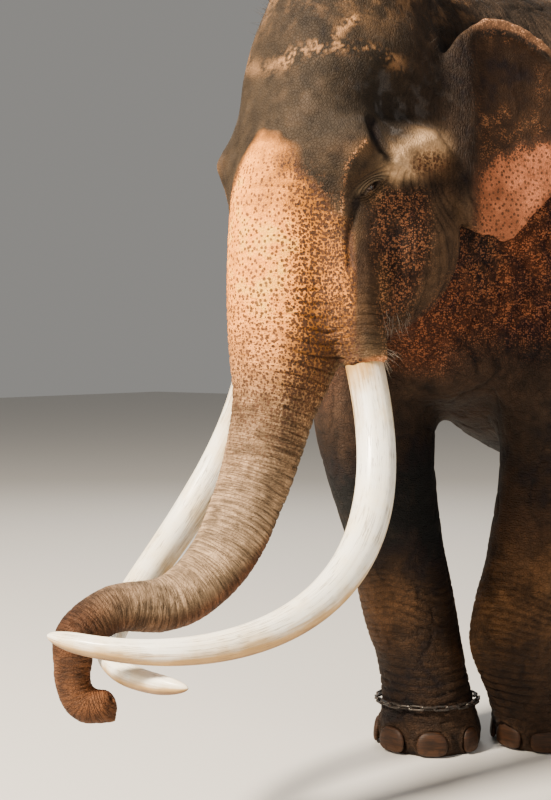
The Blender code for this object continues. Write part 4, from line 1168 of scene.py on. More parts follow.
def trunk_colours(at, tint, large):
    """Brown where the pink ends, paler and greyer on top lower down, reddish underneath, and
    painted shade on the rear.
    """
    # The rear gets painted shade, and a red tone lower down.
    under = at.trunk * soft(at.turned + 28 * soft(at.along, 1.3, 1.7), 105, 140)
    top = at.trunk * soft(at.along, 0.70, 1.10) * (1 - soft(at.turned, 70, 120))
    return painted(
        tint, (TRUNK_HIGH, at.trunk * soft(-at.hz, 0.0, 0.35)),
        (TRUNK_LOW, at.trunk * soft(-at.hz, 0.50, 0.80)), (TRUNK_TOP, 0.85 * top),
        (TRUNK_REAR_SHADE, 0.9 * under * (0.8 + large)),
        (TRUNK_RED, 0.85 * under * soft(at.along, 1.35, 1.65) * (0.8 + large)),
        (TRUNK_TIP, 0.97 * soft(at.along, 1.88, 2.18) * at.trunk))


def colours(at, height):
    """The hide's colour, and how freckled, how speckled and how densely freckled it is."""
    p = at.points
    large = noise(p, 5, 31) - 0.5
    small = noise(p, 24, 32) - 0.5
    tint, breast = body_colours(at, large)
    tint, cheek = head_colours(at, tint, large, small)
    tint = trunk_colours(at, tint, large)

    # Pink on the front of the trunk and the face, within a limit that narrows upwards and that painted
    # shade narrows further high on the face's right side.
    limit = np.interp(at.hz, *PINK_LIMIT) - 26 * soft(-at.hx, 0.02, 0.10) * soft(at.hz, -0.50, -0.20)
    inside = limit - at.turned + 14 * large + 12 * small
    brink = soft(at.hz, 0.02, 0.12)
    pale = soft(inside, -22, 4 + 18 * brink)
    pale *= 1 - soft(at.slant, 0.190, 0.222) * soft(at.hz, -0.62, -0.45)
    pale *= at.front * (1 - soft(at.off, 1.35, 1.7)) * (at.hy < 0.15)
    fade = 1 - 0.9 * soft(-at.hz, 0.45, 1.15)
    pink = np.array(PINK) + (np.array(PINK_LOW) - np.array(PINK)) * soft(-at.hz, 0.25, 0.75)[:, None]
    # Painted shade darkens the pink towards the sides on the left of the face and trunk.
    pink *= (1 - 0.40 * soft(at.turned, 30, 80) * soft(at.hx, 0.0, 0.08))[:, None]
    tint = mixed(tint, pink * (1 + 0.5 * large[:, None]), pale * fade)

    # Ears: dark and freckled, pink towards the lobe, with a paler rim and a painted shadow line under it.
    slant = 0.55 * at.ear_u - at.ear_v + 0.14 * large + 0.05 * small
    lobe = at.ear * soft(slant, -0.08, 0.02)
    shade = at.ear * soft(at.ear_ring, 0.84, 0.89) * (1 - lobe) * soft(at.ear_v, 0.2, 0.35)
    rim = at.ear * soft(at.ear_ring, 0.91, 0.95) * (1 - lobe)
    tint = painted(tint, (EAR, at.ear), (EAR_PINK, 0.80 * lobe), (PAINTED_SHADE, 0.8 * shade),
                   (EAR_RIM_PALE, 0.85 * rim))

    # Mottled all over, with painted shade in the folds and paler, dusty hide on what stands out.
    tiny = noise(p, 55, 33) - 0.5
    tint *= np.clip(1 + 0.75 * large + 0.70 * small + 0.55 * tiny, 0.3, 2.2)[:, None]
    deep = np.clip(-height / 0.006, 0, 1)
    raised = np.clip(height / 0.005, 0, 1)
    tint *= ((1 - 0.62 * deep) * (1 + 0.35 * raised))[:, None]

    below_bone = near_path(at.slant, at.hz, BELOW_BONE_LINE, 0.035) * at.front
    freckle = np.clip(6 * pale, 0, 1) * np.clip(1.4 * fade - 0.12, 0, 1)
    freckle *= 1 - 0.75 * soft(at.hz, 0.06, 0.16)
    freckle = np.clip(freckle + 6 * lobe + 1.2 * below_bone, 0, 1)
    speckle = 0.55 * at.ear * (1 - lobe) + 0.85 * breast * (1 - at.ear)
    speckle += 1.1 * cheek * (1 - soft(at.hy + 0.06 * large, 0.25, 0.35))
    bare = 1 - soft(0.5 + 1.2 * large + 0.8 * small, 0.30, 0.62)
    speckle = np.clip(speckle, 0, 1) * (1 - at.ear * bare)
    fringe = soft(inside, -36, -12) * (1 - pale) * (1 - brink) * at.front * (1 - at.sheath)
    fringe *= (at.hz > -0.55) * (at.slant < 0.21)
    beads = near_path(at.slant + 0.01 * small, at.hz, BROW_LINE, 0.0085) * at.front
    speckle = np.clip(np.maximum(speckle, np.maximum(0.55 * fringe, 1.3 * beads)), 0, 1)
    dense = np.maximum(0.56 * soft(at.turned, 18, 62), 0.70 * (1 - soft(inside, -20, 16)))
    dense = np.maximum(dense, 0.36 * soft(-at.hz, 0.12, 0.50))
    dense = dense + (0.35 - dense) * np.clip(below_bone, 0, 1)
    dense = dense + ((1 - soft(slant, -0.10, 0.05)) - dense) * at.ear
    return np.clip(tint, 0.004, 1), np.column_stack([freckle, speckle, np.clip(dense, 0, 1)])


def give_attribute(mesh, name, kind, values):
    attribute = mesh.attributes.new(name, kind, "POINT")
    if kind == "FLOAT_COLOR":
        values = np.column_stack([values, np.ones(len(values))])
    key = {"FLOAT_COLOR": "color", "FLOAT_VECTOR": "vector", "FLOAT": "value"}[kind]
    attribute.data.foreach_set(key, values.astype(np.float32).ravel())


def make_skin(eyes):
    skin = skin_base()
    thin_ears(skin)
    refine(skin, lambda middles: fine_places(middles, eyes))
    for reach in EYE_MESH_REACHES:
        refine(skin, lambda middles: eye_distance(middles, eyes) < reach)
    mesh = skin.data
    at = survey(coordinates(mesh))
    height = relief(at) * soft(eye_distance(at.points, eyes), 0.045, 0.085)
    height = shape_cuticles(at, height)
    set_coordinates(mesh, at.points + normals(mesh) * height[:, None])
    shape_eyes(skin, eyes)
    shape_tip(skin)
    points = coordinates(mesh)
    points[:, 2] = np.maximum(points[:, 2], 0.0)
    set_coordinates(mesh, points)
    tint, marks = colours(at, height)
    give_attribute(mesh, "tint", "FLOAT_COLOR", colour_eyes(tint, at, eyes))
    give_attribute(mesh, "marks", "FLOAT_VECTOR", marks)
    rings = at.trunk * (0.06 + 0.94 * soft(-at.hz, 0.45, 0.90))
    level = np.clip(at.leg * 0.8 + at.sheath, 0, 1)
    upright = np.clip(upright_folds(at), 0, 1)
    give_attribute(mesh, "folds", "FLOAT_VECTOR", np.column_stack([rings, level, upright]))
    radius = np.interp(at.along, [0, 1, 2, 3], [0.2, 0.12, 0.08, 0.05])
    coarse = 1 - 0.85 * np.clip(at.front + at.ear, 0, 1)
    give_attribute(mesh, "way", "FLOAT_VECTOR", np.column_stack([at.around * radius, at.along, coarse]))
    give_attribute(mesh, "flat", "FLOAT_VECTOR", flat_charts(at))
    unwrap(skin, at)
    return skin, at


def flat_charts(at):
    """Places in metres on flat charts for spots: trunk, side of the head, body and ears. Each
    chart is moved by some metres, so that no two share a pattern."""
    radius = np.interp(at.along, [0.0, 0.3, 0.8, 1.3, 2.0, 3.0], [0.30, 0.24, 0.19, 0.13, 0.09, 0.05])
    outwards = np.sign(at.around) * np.maximum(0, at.radial - 1.05 * radius) * soft(at.turned, 40, 70)
    flat = np.column_stack([at.around * radius + outwards, at.along, at.off * 0])
    body_slant = SLANT[0] * np.abs(at.x) + SLANT[1] * at.y
    for mine, across, up, shift in (((at.front > 0.5) & (at.trunk < 0.5), at.slant, at.hz, (3, 3)),
                                    (at.front <= 0.5, body_slant, at.z, (11, 0)),
                                    (at.ear > 0.5, at.ear_u, at.ear_v, (7, 7))):
        flat[mine] = np.column_stack([across + shift[0], up + shift[1], at.z * 0])[mine]
    return flat


# Each chart of the hide's unwrap: its corner and its size on the map, and the ranges of the two
# places that it lays out, of which the first may be an angle.
TURN = (-math.pi, math.pi)
LEGS = ("foreleg_left", "foreleg_right", "hindleg_left", "hindleg_right")
CHARTS = {
    "trunk": ((0.705, 0.010), (0.280, 0.600), TURN, (-0.10, 2.55)),
    "head": ((0.010, 0.640), (0.440, 0.345), TURN, (-1.25, 1.57)),
    "torso": ((0.010, 0.010), (0.680, 0.420), TURN, (-0.95, 2.30)),
    "sheath_left": ((0.820, 0.640), (0.165, 0.085), TURN, (-0.05, 0.42)),
    "sheath_right": ((0.820, 0.735), (0.165, 0.085), TURN, (-0.05, 0.42)),
    "rump": ((0.820, 0.830), (0.080, 0.155), (-0.55, 0.55), (1.00, 2.95)),
    "tail": ((0.910, 0.830), (0.075, 0.155), TURN, (0.90, 2.30)),
}
for number, name in enumerate(LEGS):
    CHARTS[name] = ((0.010 + 0.173 * number, 0.445), (0.160, 0.180), TURN, (-0.02, 1.32))
for row, side in enumerate(("left", "right")):
    for column, face in enumerate(("out", "in")):
        CHARTS[f"ear_{side}_{face}"] = ((0.465 + 0.175 * column, 0.640 + 0.177 * row), (0.165, 0.168),
                                        (-0.12, 0.66), (-0.20, 0.64))


def chart_places(at):
    """The number of the chart each point is on, and its two places on every chart."""
    names = list(CHARTS)
    places = {"trunk": (at.around, at.along),
              "head": (np.arctan2(at.hx, 0.27 - at.hy),
                       np.arctan2(at.hz - 0.15, np.hypot(at.hx, at.hy - 0.27))),
              "torso": (np.arctan2(at.x, at.z - 1.95), at.y),
              "rump": (at.x, at.z)}
    lines = (FORELEG_LEFT, FORELEG_RIGHT, hind_leg_rows(1), hind_leg_rows(-1), TAIL[::-1])
    for name, rows in zip((*LEGS, "tail"), lines):
        rows = np.array(rows)
        across = at.x - np.interp(at.z, rows[:, 2], rows[:, 0])
        ahead = np.interp(at.z, rows[:, 2], rows[:, 1]) - at.y
        places[name] = (np.arctan2(across, ahead), at.z)
    for side in ("left", "right"):
        places[f"ear_{side}_out"] = places[f"ear_{side}_in"] = (at.ear_u, at.ear_v)
        places[f"sheath_{side}"] = (at.tusk_spin, at.above)
    number = {name: index for index, name in enumerate(names)}
    chart = np.full(len(at.x), number["torso"])
    left = at.x > 0
    chart[at.y > 2.2] = number["rump"]
    quarters = (at.fore & left, at.fore & ~left, ~at.fore & left, ~at.fore & ~left)
    for name, quarter in zip(LEGS, quarters):
        chart[(at.leg > 0.5) & quarter] = number[name]
    chart[(at.y > 2.47) & (at.z < 2.25)] = number["tail"]
    head = at.front > 0.5
    chart[head] = number["head"]
    sides = (("left", at.hx > 0), ("right", at.hx <= 0))
    for side, mine in sides:
        chart[head & (at.sheath > 0.5) & mine] = number[f"sheath_{side}"]
    chart[at.trunk > 0.5] = number["trunk"]
    for side, mine in sides:
        chart[(at.ear > 0.5) & mine & (at.ear_lift > 0)] = number[f"ear_{side}_out"]
        chart[(at.ear > 0.5) & mine & (at.ear_lift <= 0)] = number[f"ear_{side}_in"]
    return chart, np.array([places[name] for name in names])


def on_map(chart, first, second):
    """Places on the map of places on charts."""
    rows = np.array(list(CHARTS.values()))[chart]
    corner, size, first_range, second_range = rows.transpose(1, 0, 2)
    part = np.column_stack([(first - first_range[:, 0]) / (first_range[:, 1] - first_range[:, 0]),
                            (second - second_range[:, 0]) / (second_range[:, 1] - second_range[:, 0])])
    return corner + size * np.clip(part, -0.02, 1.02)


def unwrap(skin, at):
    """The hide's own unwrap, which every hair's root also looks up."""
    mesh = skin.data
    chart, places = chart_places(at)
    corner = np.empty(len(mesh.loops), dtype=np.int32)
    mesh.loops.foreach_get("vertex_index", corner)
    start = np.empty(len(mesh.polygons), dtype=np.int32)
    mesh.polygons.foreach_get("loop_start", start)
    total = np.empty(len(mesh.polygons), dtype=np.int32)
    mesh.polygons.foreach_get("loop_total", total)
    anchor = np.repeat(corner[start], total)
    mine = chart[anchor]
    first = places[mine, 0, corner]
    begin = places[mine, 0, anchor]
    turns = np.array([row[2] == TURN for row in CHARTS.values()])[mine]
    near = begin + (first - begin + math.pi) % (2 * math.pi) - math.pi
    first = np.where(turns, near, first)
    layer = mesh.uv_layers.new(name="OFBake")
    layer.data.foreach_set("uv", on_map(mine, first, places[mine, 1, corner]).astype(np.float32).ravel())
    every = np.arange(len(chart))
    at.map = on_map(chart, places[chart, 0, every], places[chart, 1, every])


def upright_folds(at):
    """1 on the neck and the cheeks, whose fine folds hang down."""
    neck = at.body * soft(-at.y, -0.4, 0.1) * soft(at.z, 1.3, 1.6)
    return (1 - at.ear) * (1 - at.trunk) * (neck + at.front * soft(at.hy, 0.1, 0.25))


def colour_eyes(tint, at, eyes):
    """Dark wet edges of the lids, a dark tear groove, and painted shade in the creases of the lid folds."""
    for name, eye in eyes.items():
        a, b, out = eye_local(at.in_head, name, eye)
        near = (np.hypot(a, b) < 0.12) & (np.abs(out) < 0.09)
        edge = lid_edge(a[near], b[near])
        dark = 1 - soft(edge, 1.05, 1.7)
        reach = np.hypot(a[near], b[near])
        tint[near] = mixed(tint[near], LID_SKIN, 0.8 * np.exp(-(reach / 0.055) ** 4))
        lid = soft(edge, 1.2, 1.6) * (1 - soft(edge, 3.0, 4.2)) * soft(b[near], -0.004, 0.010)
        tint[near] = mixed(tint[near], LID_PALE, 0.75 * lid * np.exp(-(reach / 0.060) ** 4))
        # Painted shade in the creases between the lid folds.
        for place, width in ((1.9, 0.22), (2.75, 0.26), (3.7, 0.30), (4.9, 0.34)):
            line = np.exp(-((edge - place - 0.25 * np.sin(38 * a[near] + place)) / width) ** 2)
            line *= np.exp(-(reach / 0.070) ** 4) * (0.45 + 0.55 * (b[near] > 0))
            tint[near] = mixed(tint[near], LID_CREASE_SHADE, 0.95 * line)
        corner = a[near] + EYE_SLIT * 0.9
        groove = np.exp(-((b[near] - 0.25 * corner) / 0.007) ** 2)
        groove *= soft(-corner, -0.004, 0.004) * (1 - soft(-corner, 0.05, 0.10))
        tint[near] = mixed(tint[near], LID_WET, np.maximum(0.9 * dark, 0.85 * groove))
    return tint


# ---------------------------------------------------------------- materials
class Material:
    """A material, with short ways to add nodes; an input is a constant or another node's output."""

    def __init__(self, name):
        self.result = bpy.data.materials.new(name)
        self.result.use_nodes = True
        self.tree = self.result.node_tree
        self.shader = self.tree.nodes["Principled BSDF"]

    def set(self, node, values):
        for key, value in values.items():
            if isinstance(value, bpy.types.NodeSocket):
                self.tree.links.new(value, node.inputs[key])
            else:
                node.inputs[key].default_value = value

    def add(self, kind, values, **settings):
        node = self.tree.nodes.new("ShaderNode" + kind)
        for key, value in settings.items():
            setattr(node, key, value)
        self.set(node, values)
        return node.outputs

    def surface(self, **values):
        self.set(self.shader, {key.replace("_", " "): value for key, value in values.items()})

    def bump(self, height, strength, distance):
        bump = self.add("Bump", {"Height": height, "Strength": strength, "Distance": distance})
        self.surface(Normal=bump["Normal"])

    def read(self, name, output="Vector"):
        return self.add("Attribute", {}, attribute_name=name)[output]

    def place(self):
        return self.add("TexCoord", {})["Object"]

    def math(self, operation, a, b=0.0, c=0.0, clamp=False):
        return self.add("Math", {0: a, 1: b, 2: c}, operation=operation, use_clamp=clamp)[0]

    def times(self, a, b, clamp=False):
        return self.math("MULTIPLY", a, b, clamp=clamp)

    def minus(self, a, b):
        return self.math("SUBTRACT", a, b)

    def line(self, value, slope, start, clamp=False):
        """start where the value is 0, rising by the slope."""
        return self.math("MULTIPLY_ADD", value, slope, start, clamp)

    def between(self, value, low, high):
        """0 below low, 1 above high, soft in between."""
        values = {"Value": value, "From Min": low, "From Max": high}
        return self.add("MapRange", values, interpolation_type="SMOOTHSTEP")["Result"]

    def seam(self, value, width):
        """0 where a noise passes its middle value, 1 away from there."""
        return self.between(self.math("ABSOLUTE", self.minus(value, 0.5)), 0.0, width)

    def mix(self, share, a, b, blend="MIX"):
        a, b = (colour if isinstance(colour, bpy.types.NodeSocket) else (*colour, 1.0) for colour in (a, b))
        return self.add("Mix", {0: share, 6: a, 7: b}, data_type="RGBA", blend_type=blend,
                        clamp_factor=True)[2]

    def vector(self, operation, a, b):
        return self.add("VectorMath", {0: a, 1: b}, operation=operation)[0]

    def parts(self, vector):
        return self.add("SeparateXYZ", {0: vector})

    def noise(self, vector, scale, detail=4.0, roughness=0.55):
        values = {"Vector": vector, "Scale": scale, "Detail": detail, "Roughness": roughness}
        return self.add("TexNoise", values)["Fac"]

    def mosaic(self, vector, scale, width):
        """0 along the cracks between cells, 1 inside them."""
        edges = self.add("TexVoronoi", {"Vector": vector, "Scale": scale, "Randomness": 1.0},
                         feature="DISTANCE_TO_EDGE")
        return self.between(edges["Distance"], 0.0, width)

    def spots(self, flat, scale, randomness, width):
        """Cells on a flat chart: each one's random numbers, and a function that turns a radius for
        each cell into spots of that size."""
        values = {"Vector": flat, "Scale": scale, "Randomness": randomness}
        cells = self.add("TexVoronoi", values, voronoi_dimensions="2D")
        random = self.add("SeparateColor", {0: cells["Color"]})
        return random, lambda size: self.between(self.minus(size, cells["Distance"]), *width)


def hide_material():
    """Dry wrinkled hide: the mesh brings its colour, how marked it is and which way it folds."""
    hide = Material("hide")
    place, way, tint = hide.place(), hide.read("way"), hide.read("tint", "Color")
    freckled, speckled, dense = hide.parts(hide.read("marks"))
    ringed, levelled, pleated = hide.parts(hide.read("folds"))
    wobble = hide.add("TexNoise", {"Vector": place, "Scale": 30.0, "Detail": 3.0})["Color"]
    shift = hide.vector("MULTIPLY", hide.vector("SUBTRACT", wobble, (0.5, 0.5, 0.5)), (0.016,) * 3)
    warped = hide.vector("ADD", place, shift)

    # Height of the fine relief: a mosaic of small cracks, wrinkles that follow the folds, grain.
    mosaic = hide.mosaic(warped, 95.0, 0.16)
    coarse = hide.mosaic(warped, 38.0, 0.10)
    rings, level, upright = (
        hide.seam(hide.noise(hide.vector("MULTIPLY", where, stretch), 1.0, 3.0, 0.5), width)
        for where, stretch, width in ((way, (7.0, 85.0, 0.0), 0.05), (warped, (14.0, 14.0, 85.0), 0.07),
                                      (warped, (70.0, 70.0, 13.0), 0.07)))
    grain = hide.noise(place, 260.0, 4.0, 0.6)
    rough_share = hide.parts(way)[2]
    coarse = hide.line(hide.minus(coarse, 1.0), rough_share, 1.0)
    height = hide.line(coarse, 0.45, hide.times(mosaic, 0.40))
    for mask, lines, amount in ((ringed, rings, 1.3), (levelled, level, 0.9), (pleated, upright, 0.9)):
        height = hide.line(hide.times(mask, lines), amount, height)
    hide.bump(hide.line(grain, 0.35, height), 0.85, 0.0040)

    # Colour: the tint, with painted shade in the cracks and the trunk's ring furrows, dusted on
    # what stands out.
    crack_share = hide.line(rough_share, 0.26, 0.08)
    cracks = hide.minus(1.0, hide.times(crack_share, hide.minus(1.0, hide.times(mosaic, coarse))))
    ring_shade = hide.minus(1.0, hide.times(ringed, hide.minus(1.0, rings)))
    cracks = hide.times(cracks, hide.line(ring_shade, 0.30, 0.70))
    colour = hide.mix(1.0, tint, hide.add("CombineColor", {0: cracks, 1: cracks, 2: cracks})[0], "MULTIPLY")
    dust = hide.between(hide.noise(place, 14.0, 6.0, 0.7), 0.48, 0.80)
    colour = hide.mix(hide.times(dust, 0.45), colour, hide.mix(0.14, colour, DUST))

    # Pale specks on dark hide, then dark freckles in two sizes on pale hide.
    flat = hide.vector("ADD", hide.read("flat"), hide.vector("MULTIPLY", shift, (0.25, 0.25, 0.25)))
    random, of_size = hide.spots(flat, 150.0, 1.0, (-0.08, 0.06))
    speck = of_size(hide.line(speckled, 0.18, hide.line(random[0], 0.62, -0.16)))
    few = hide.between(hide.noise(place, 22.0, 6.0, 0.75), 0.36, 0.60)
    speck = hide.times(speck, hide.times(speckled, few), clamp=True)
    bright = hide.vector("ADD", hide.vector("MULTIPLY", tint, (4.0, 4.0, 4.0)), SPECK_GLOW)
    colour = hide.mix(hide.times(speck, 0.85), colour, bright)
    for scale, low, high, seed_shift, more in FRECKLES:
        moved = hide.vector("ADD", flat, (seed_shift,) * 3)
        random, of_size = hide.spots(moved, scale, 0.92, (-0.06, 0.05))
        spot = of_size(hide.line(dense, more, hide.line(random[1], high - low, low)))
        shade = hide.mix(random[2], *FRECKLE_SHADES)
        shade = hide.mix(hide.math("POWER", dense, 1.5), shade, FRECKLE_DARK)
        cover = hide.times(hide.times(spot, freckled, clamp=True), hide.line(dense, 0.12, 0.87))
        colour = hide.mix(cover, colour, shade)
    hide.surface(Base_Color=colour, Roughness=hide.line(grain, 0.25, 0.58), Specular_IOR_Level=0.17)
    return hide.result


def ivory_material():
    """Cream ivory with a brown stain at the root and along the underside, and long fine cracks."""
    ivory = Material("ivory")
    place, way, stain = ivory.place(), ivory.read("way"), ivory.read("stain", "Fac")
    cloud = ivory.noise(place, 7.0, 6.0, 0.6)
    streak = ivory.noise(ivory.vector("MULTIPLY", way, (95.0, 5.0, 1.0)), 1.0, 5.0, 0.6)
    colour = ivory.mix(ivory.between(cloud, 0.35, 0.70), *IVORY)
    worn = ivory.line(ivory.between(stain, 0.0, 0.5), 0.55, 0.12)
    colour = ivory.mix(ivory.times(ivory.between(streak, 0.50, 0.72), worn), colour, IVORY_STREAK)
    amount = ivory.line(ivory.minus(cloud, 0.5), 0.9, stain)
    amount = ivory.line(ivory.minus(streak, 0.5), 0.7, amount)
    colour = ivory.mix(ivory.between(amount, 0.04, 0.85), colour, IVORY_STAIN)
    colour = ivory.mix(ivory.between(amount, 0.75, 1.35), colour, IVORY_ROOT)
    crack = ivory.seam(ivory.noise(ivory.vector("MULTIPLY", way, (55.0, 1.6, 1.0)), 1.0, 4.0, 0.65), 0.022)
    broken = ivory.between(ivory.noise(place, 9.0, 2.0), 0.36, 0.52)
    crack = ivory.minus(1.0, ivory.times(ivory.minus(1.0, crack), broken))
    colour = ivory.mix(ivory.line(crack, -0.6, 0.6), colour, IVORY_CRACK)
    ivory.bump(ivory.line(streak, 0.5, crack), 0.35, 0.0012)
    ivory.surface(Base_Color=colour, Roughness=ivory.line(amount, 0.22, 0.30, clamp=True))
    return ivory.result


def horn_material():
    """Dark horn with level growth bands, and dust low down."""
    horn = Material("nail_horn")
    place = horn.place()
    bands = horn.noise(horn.vector("MULTIPLY", place, (14.0, 14.0, 210.0)), 1.0, 4.0, 0.6)
    cloud = horn.noise(place, 42.0, 5.0, 0.6)
    colour = horn.mix(horn.between(bands, 0.35, 0.65), *HORN)
    high = horn.line(horn.minus(cloud, 0.5), 0.03, horn.parts(place)[2])
    dust = horn.minus(0.75, horn.between(high, 0.022, 0.040))
    colour = horn.mix(dust, colour, HORN_DUST)
    colour = horn.mix(horn.times(horn.between(cloud, 0.50, 0.70), 0.6), colour, HORN_DARK)
    horn.bump(horn.line(cloud, 0.5, bands), 0.5, 0.0015)
    horn.surface(Base_Color=colour, Roughness=horn.line(cloud, 0.3, 0.42), Specular_IOR_Level=0.25)
    return horn.result


def steel_material():
    """Dark worn iron, brown with rust in patches."""
    steel = Material("chain_steel")
    cloud = steel.noise(steel.place(), 85.0, 6.0, 0.65)
    rust = steel.between(cloud, 0.46, 0.62)
    steel.surface(Base_Color=steel.mix(rust, *IRON), Metallic=steel.line(rust, -0.85, 0.95),
                  Roughness=steel.line(rust, 0.42, 0.34))
    steel.bump(cloud, 0.45, 0.0008)
    return steel.result


def eye_material():
    """Wet eye: dark brown iris with fine rays round the pupil, brown-stained white."""
    eye = Material("eye")
    way = eye.read("way")
    out = eye.parts(way)[1]
    rays = eye.noise(eye.vector("MULTIPLY", way, (9.0, 1.2, 1.0)), 1.0, 4.0, 0.7)
    iris = eye.mix(eye.between(rays, 0.35, 0.68), *IRIS)
    colour = eye.mix(eye.between(out, 0.27, 0.31), PUPIL, iris)
    colour = eye.mix(eye.between(out, 0.56, 0.64), colour, IRIS_EDGE)
    colour = eye.mix(eye.between(out, 0.68, 0.80), colour, EYE_WHITE)
    eye.surface(Base_Color=colour, Roughness=0.22, Coat_Weight=0.04, Coat_Roughness=0.03)
    return eye.result


def hair_material(name, dark, pale):
    """Hair that is darker and paler in places, within two colours."""
    hair = Material(name)
    shade = hair.between(hair.noise(hair.place(), 55.0, 3.0), 0.35, 0.65)
    hair.surface(Base_Color=hair.mix(shade, dark, pale), Roughness=0.5)
    return hair.result


# ---------------------------------------------------------------- tusks, eyes, nails
def tusk_rows(tusk, steps):
    """Rows of x, y, z and radius along a tusk, from inside its sheath to the tip."""
    line = tusk_line(**tusk)
    start = line[0]
    along = (line[1] - line[0]).normalized()
    rows = []
    for step in range(8):
        rows.append((*(start - along * TUSK_ROOT * (1 - step / 8)), TUSK_RADIUS * (0.94 + 0.06 * step / 8)))
    count = len(line) - 1
    for step in range(steps + 1):
        part = 1.0 - (1.0 - step / steps) ** 1.35 if step else 0.0
        place = part * count
        low = min(int(place), count - 1)
        rows.append((*line[low].lerp(line[low + 1], place - low), tusk_radius(part)))
    return rows


def make_tusk(name, material):
    rows = np.array(tusk_rows(TUSKS[name], TUSK_STEPS))
    frames = carried_frames(rows[:, :3], (1, 0.1, 0))
    length = np.concatenate([[0.0], np.linalg.norm(np.diff(rows[:, :3], axis=0), axis=1).cumsum()])
    rings, way, stain = [], [], []
    for (point, _, side, other), radius, place in zip(frames, rows[:, 3], length):
        ring = []
        root = math.exp(-max(0.0, place - TUSK_ROOT) / 0.10)
        patch = 0.55 + 0.45 * abs(math.sin(1.7 * place + 0.6))
        lower = min(1.0, max(0.0, (place - 0.75) / 0.35))
        for i, (c, s) in enumerate(circle(TUSK_SIDES)):
            angle = 2 * math.pi * i / TUSK_SIDES
            across = side * c + other * s
            wave = 0.0007 * math.sin(3 * angle + 4 * place) + 0.0005 * math.sin(7 * angle + 2 * place)
            ring.append(HEAD @ (point + across * (radius + wave * min(1.0, radius / 0.03))))
            way.append((abs(math.remainder(angle, 2 * math.pi)) * 0.06, place, 0.0))
            below = max(0.0, 0.45 - across.z) / 1.45
            stain.append(0.62 * root + 1.15 * below ** 1.2 * patch + 0.30 * lower * (1.2 * below + 0.25))
        rings.append(ring)
    tusk = object_of_rings(rings, name + "_ivory")
    give_attribute(tusk.data, "way", "FLOAT_VECTOR", np.array(way))
    give_attribute(tusk.data, "stain", "FLOAT", np.array(stain))
    finish_piece(tusk, material, "ivory", name)


def object_of_rings(rings, name):
    bm = bmesh.new()
    add_rings(bm, rings)
    return object_from(bm, name)


def finish_piece(item, material, slot, *nodes):
    """Moves a piece into the model's frame and hands it over."""
    item.data.materials.clear()
    item.data.materials.append(material)
    item.data.polygons.foreach_set("use_smooth", np.ones(len(item.data.polygons), dtype=bool))
    item.data.transform(Matrix.Translation(ORIGIN_SHIFT))
    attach(item, "root")
    if nodes:
        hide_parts(*nodes)


def make_eye(name, place, material):
    """The ball with a cornea that stands out, looking outwards, forwards and a little down."""
    gaze = (HEAD.to_3x3() @ Vector((side_of(name), -0.30, -0.12))).normalized()
    turn = Matrix.Translation(place) @ gaze.to_track_quat("Z", "Y").to_matrix().to_4x4()
    rings, way = [], []
    steps = 40
    for step in range(1, steps):
        angle = math.pi * step / steps
        across = math.sin(angle)
        outer = angle < math.pi / 2
        swell = 0.0010 * math.exp(-(across / 0.55) ** 4) if outer else 0.0
        ring = []
        for c, s in circle(48):
            local = Vector((across * c, across * s, math.cos(angle)))
            ring.append(turn @ (local * (EYE_RADIUS - 0.0006 + swell)))
            way.append((c, across if outer else 1.0, s))
        rings.append(ring)
    ball = object_of_rings(rings, name + "_ball")
    give_attribute(ball.data, "way", "FLOAT_VECTOR", np.array(way))
    finish_piece(ball, material, "eye", name)


def make_nail(name, place, turn, half_width, material):
    """A domed plate, flat where it meets the floor, with ridges that follow its growth."""
    rings = []
    stand = Matrix.Translation(place) @ Euler((NAIL_LEAN, 0, turn)).to_matrix().to_4x4()
    steps = 16
    for step in range(1, steps):
        angle = math.pi * step / steps
        edge = math.sin(angle) ** 0.75
        out = bent(math.cos(angle), 0.9)
        ring = []
        for c, s in circle(44):
            x = edge * bent(c, 0.72)
            z = edge * bent(s, 0.85 if s > 0 else 0.55)
            x *= 1.0 - 0.10 * max(0.0, z)
            ridge = 0.03 * math.sin(26 * (z - 0.35 * x * x)) * edge
            outward = -(out + ridge) * NAIL_THICKNESS
            ring.append(stand @ Vector((x * half_width, outward, z * NAIL_HALF_HEIGHT)))
        rings.append(ring)
    finish_piece(object_of_rings(rings, name + "_horn"), material, "nail_horn", name)


# ---------------------------------------------------------------- chain
def chain_point(part):
    """A point of the chain's loop round the right fore ankle, and the way outwards."""
    angle = 2 * math.pi * part
    wide, deep = CHAIN_HALF_AXES
    outward = Vector((math.cos(angle) / wide, math.sin(angle) / deep, 0)).normalized()
    sag = CHAIN_SAG * math.cos(angle - CHAIN_HIGHEST)
    return CHAIN_CENTRE + Vector((wide * math.cos(angle), deep * math.sin(angle), sag)), outward


def add_link(bm, place, along, across, length):
    """One link: round wire along an oval with straight sides."""
    half_width = CHAIN_LINK_WIDTH / 2 - CHAIN_WIRE
    straight = length / 2 - CHAIN_WIRE - half_width
    thick = along.cross(across).normalized()
    rings = []
    for c, s in circle(28):
        middle = along * (half_width * c + math.copysign(straight, c)) + across * (half_width * s)
        rings.append(ring_round(place + middle, along * c + across * s, thick, CHAIN_WIRE, 12))
    add_rings(bm, rings, closed=True)


def make_chain(material):
    bm = bmesh.new()
    for index in range(CHAIN_LINKS):
        place, outward = chain_point(index / CHAIN_LINKS)
        after = chain_point((index + 0.5) / CHAIN_LINKS)[0]
        before = chain_point((index - 0.5) / CHAIN_LINKS)[0]
        along = (after - before).normalized()
        outward = (outward - outward.dot(along) * along).normalized()
        tilt = math.radians(45 if index % 2 else -45)
        across = Matrix.Rotation(tilt, 3, along) @ outward
        add_link(bm, place, along, across, (after - before).length + 4 * CHAIN_WIRE)
    chain = object_from(bm, "ankle_chain_links")
    finish_piece(chain, material, "chain_steel", "ankle_chain")


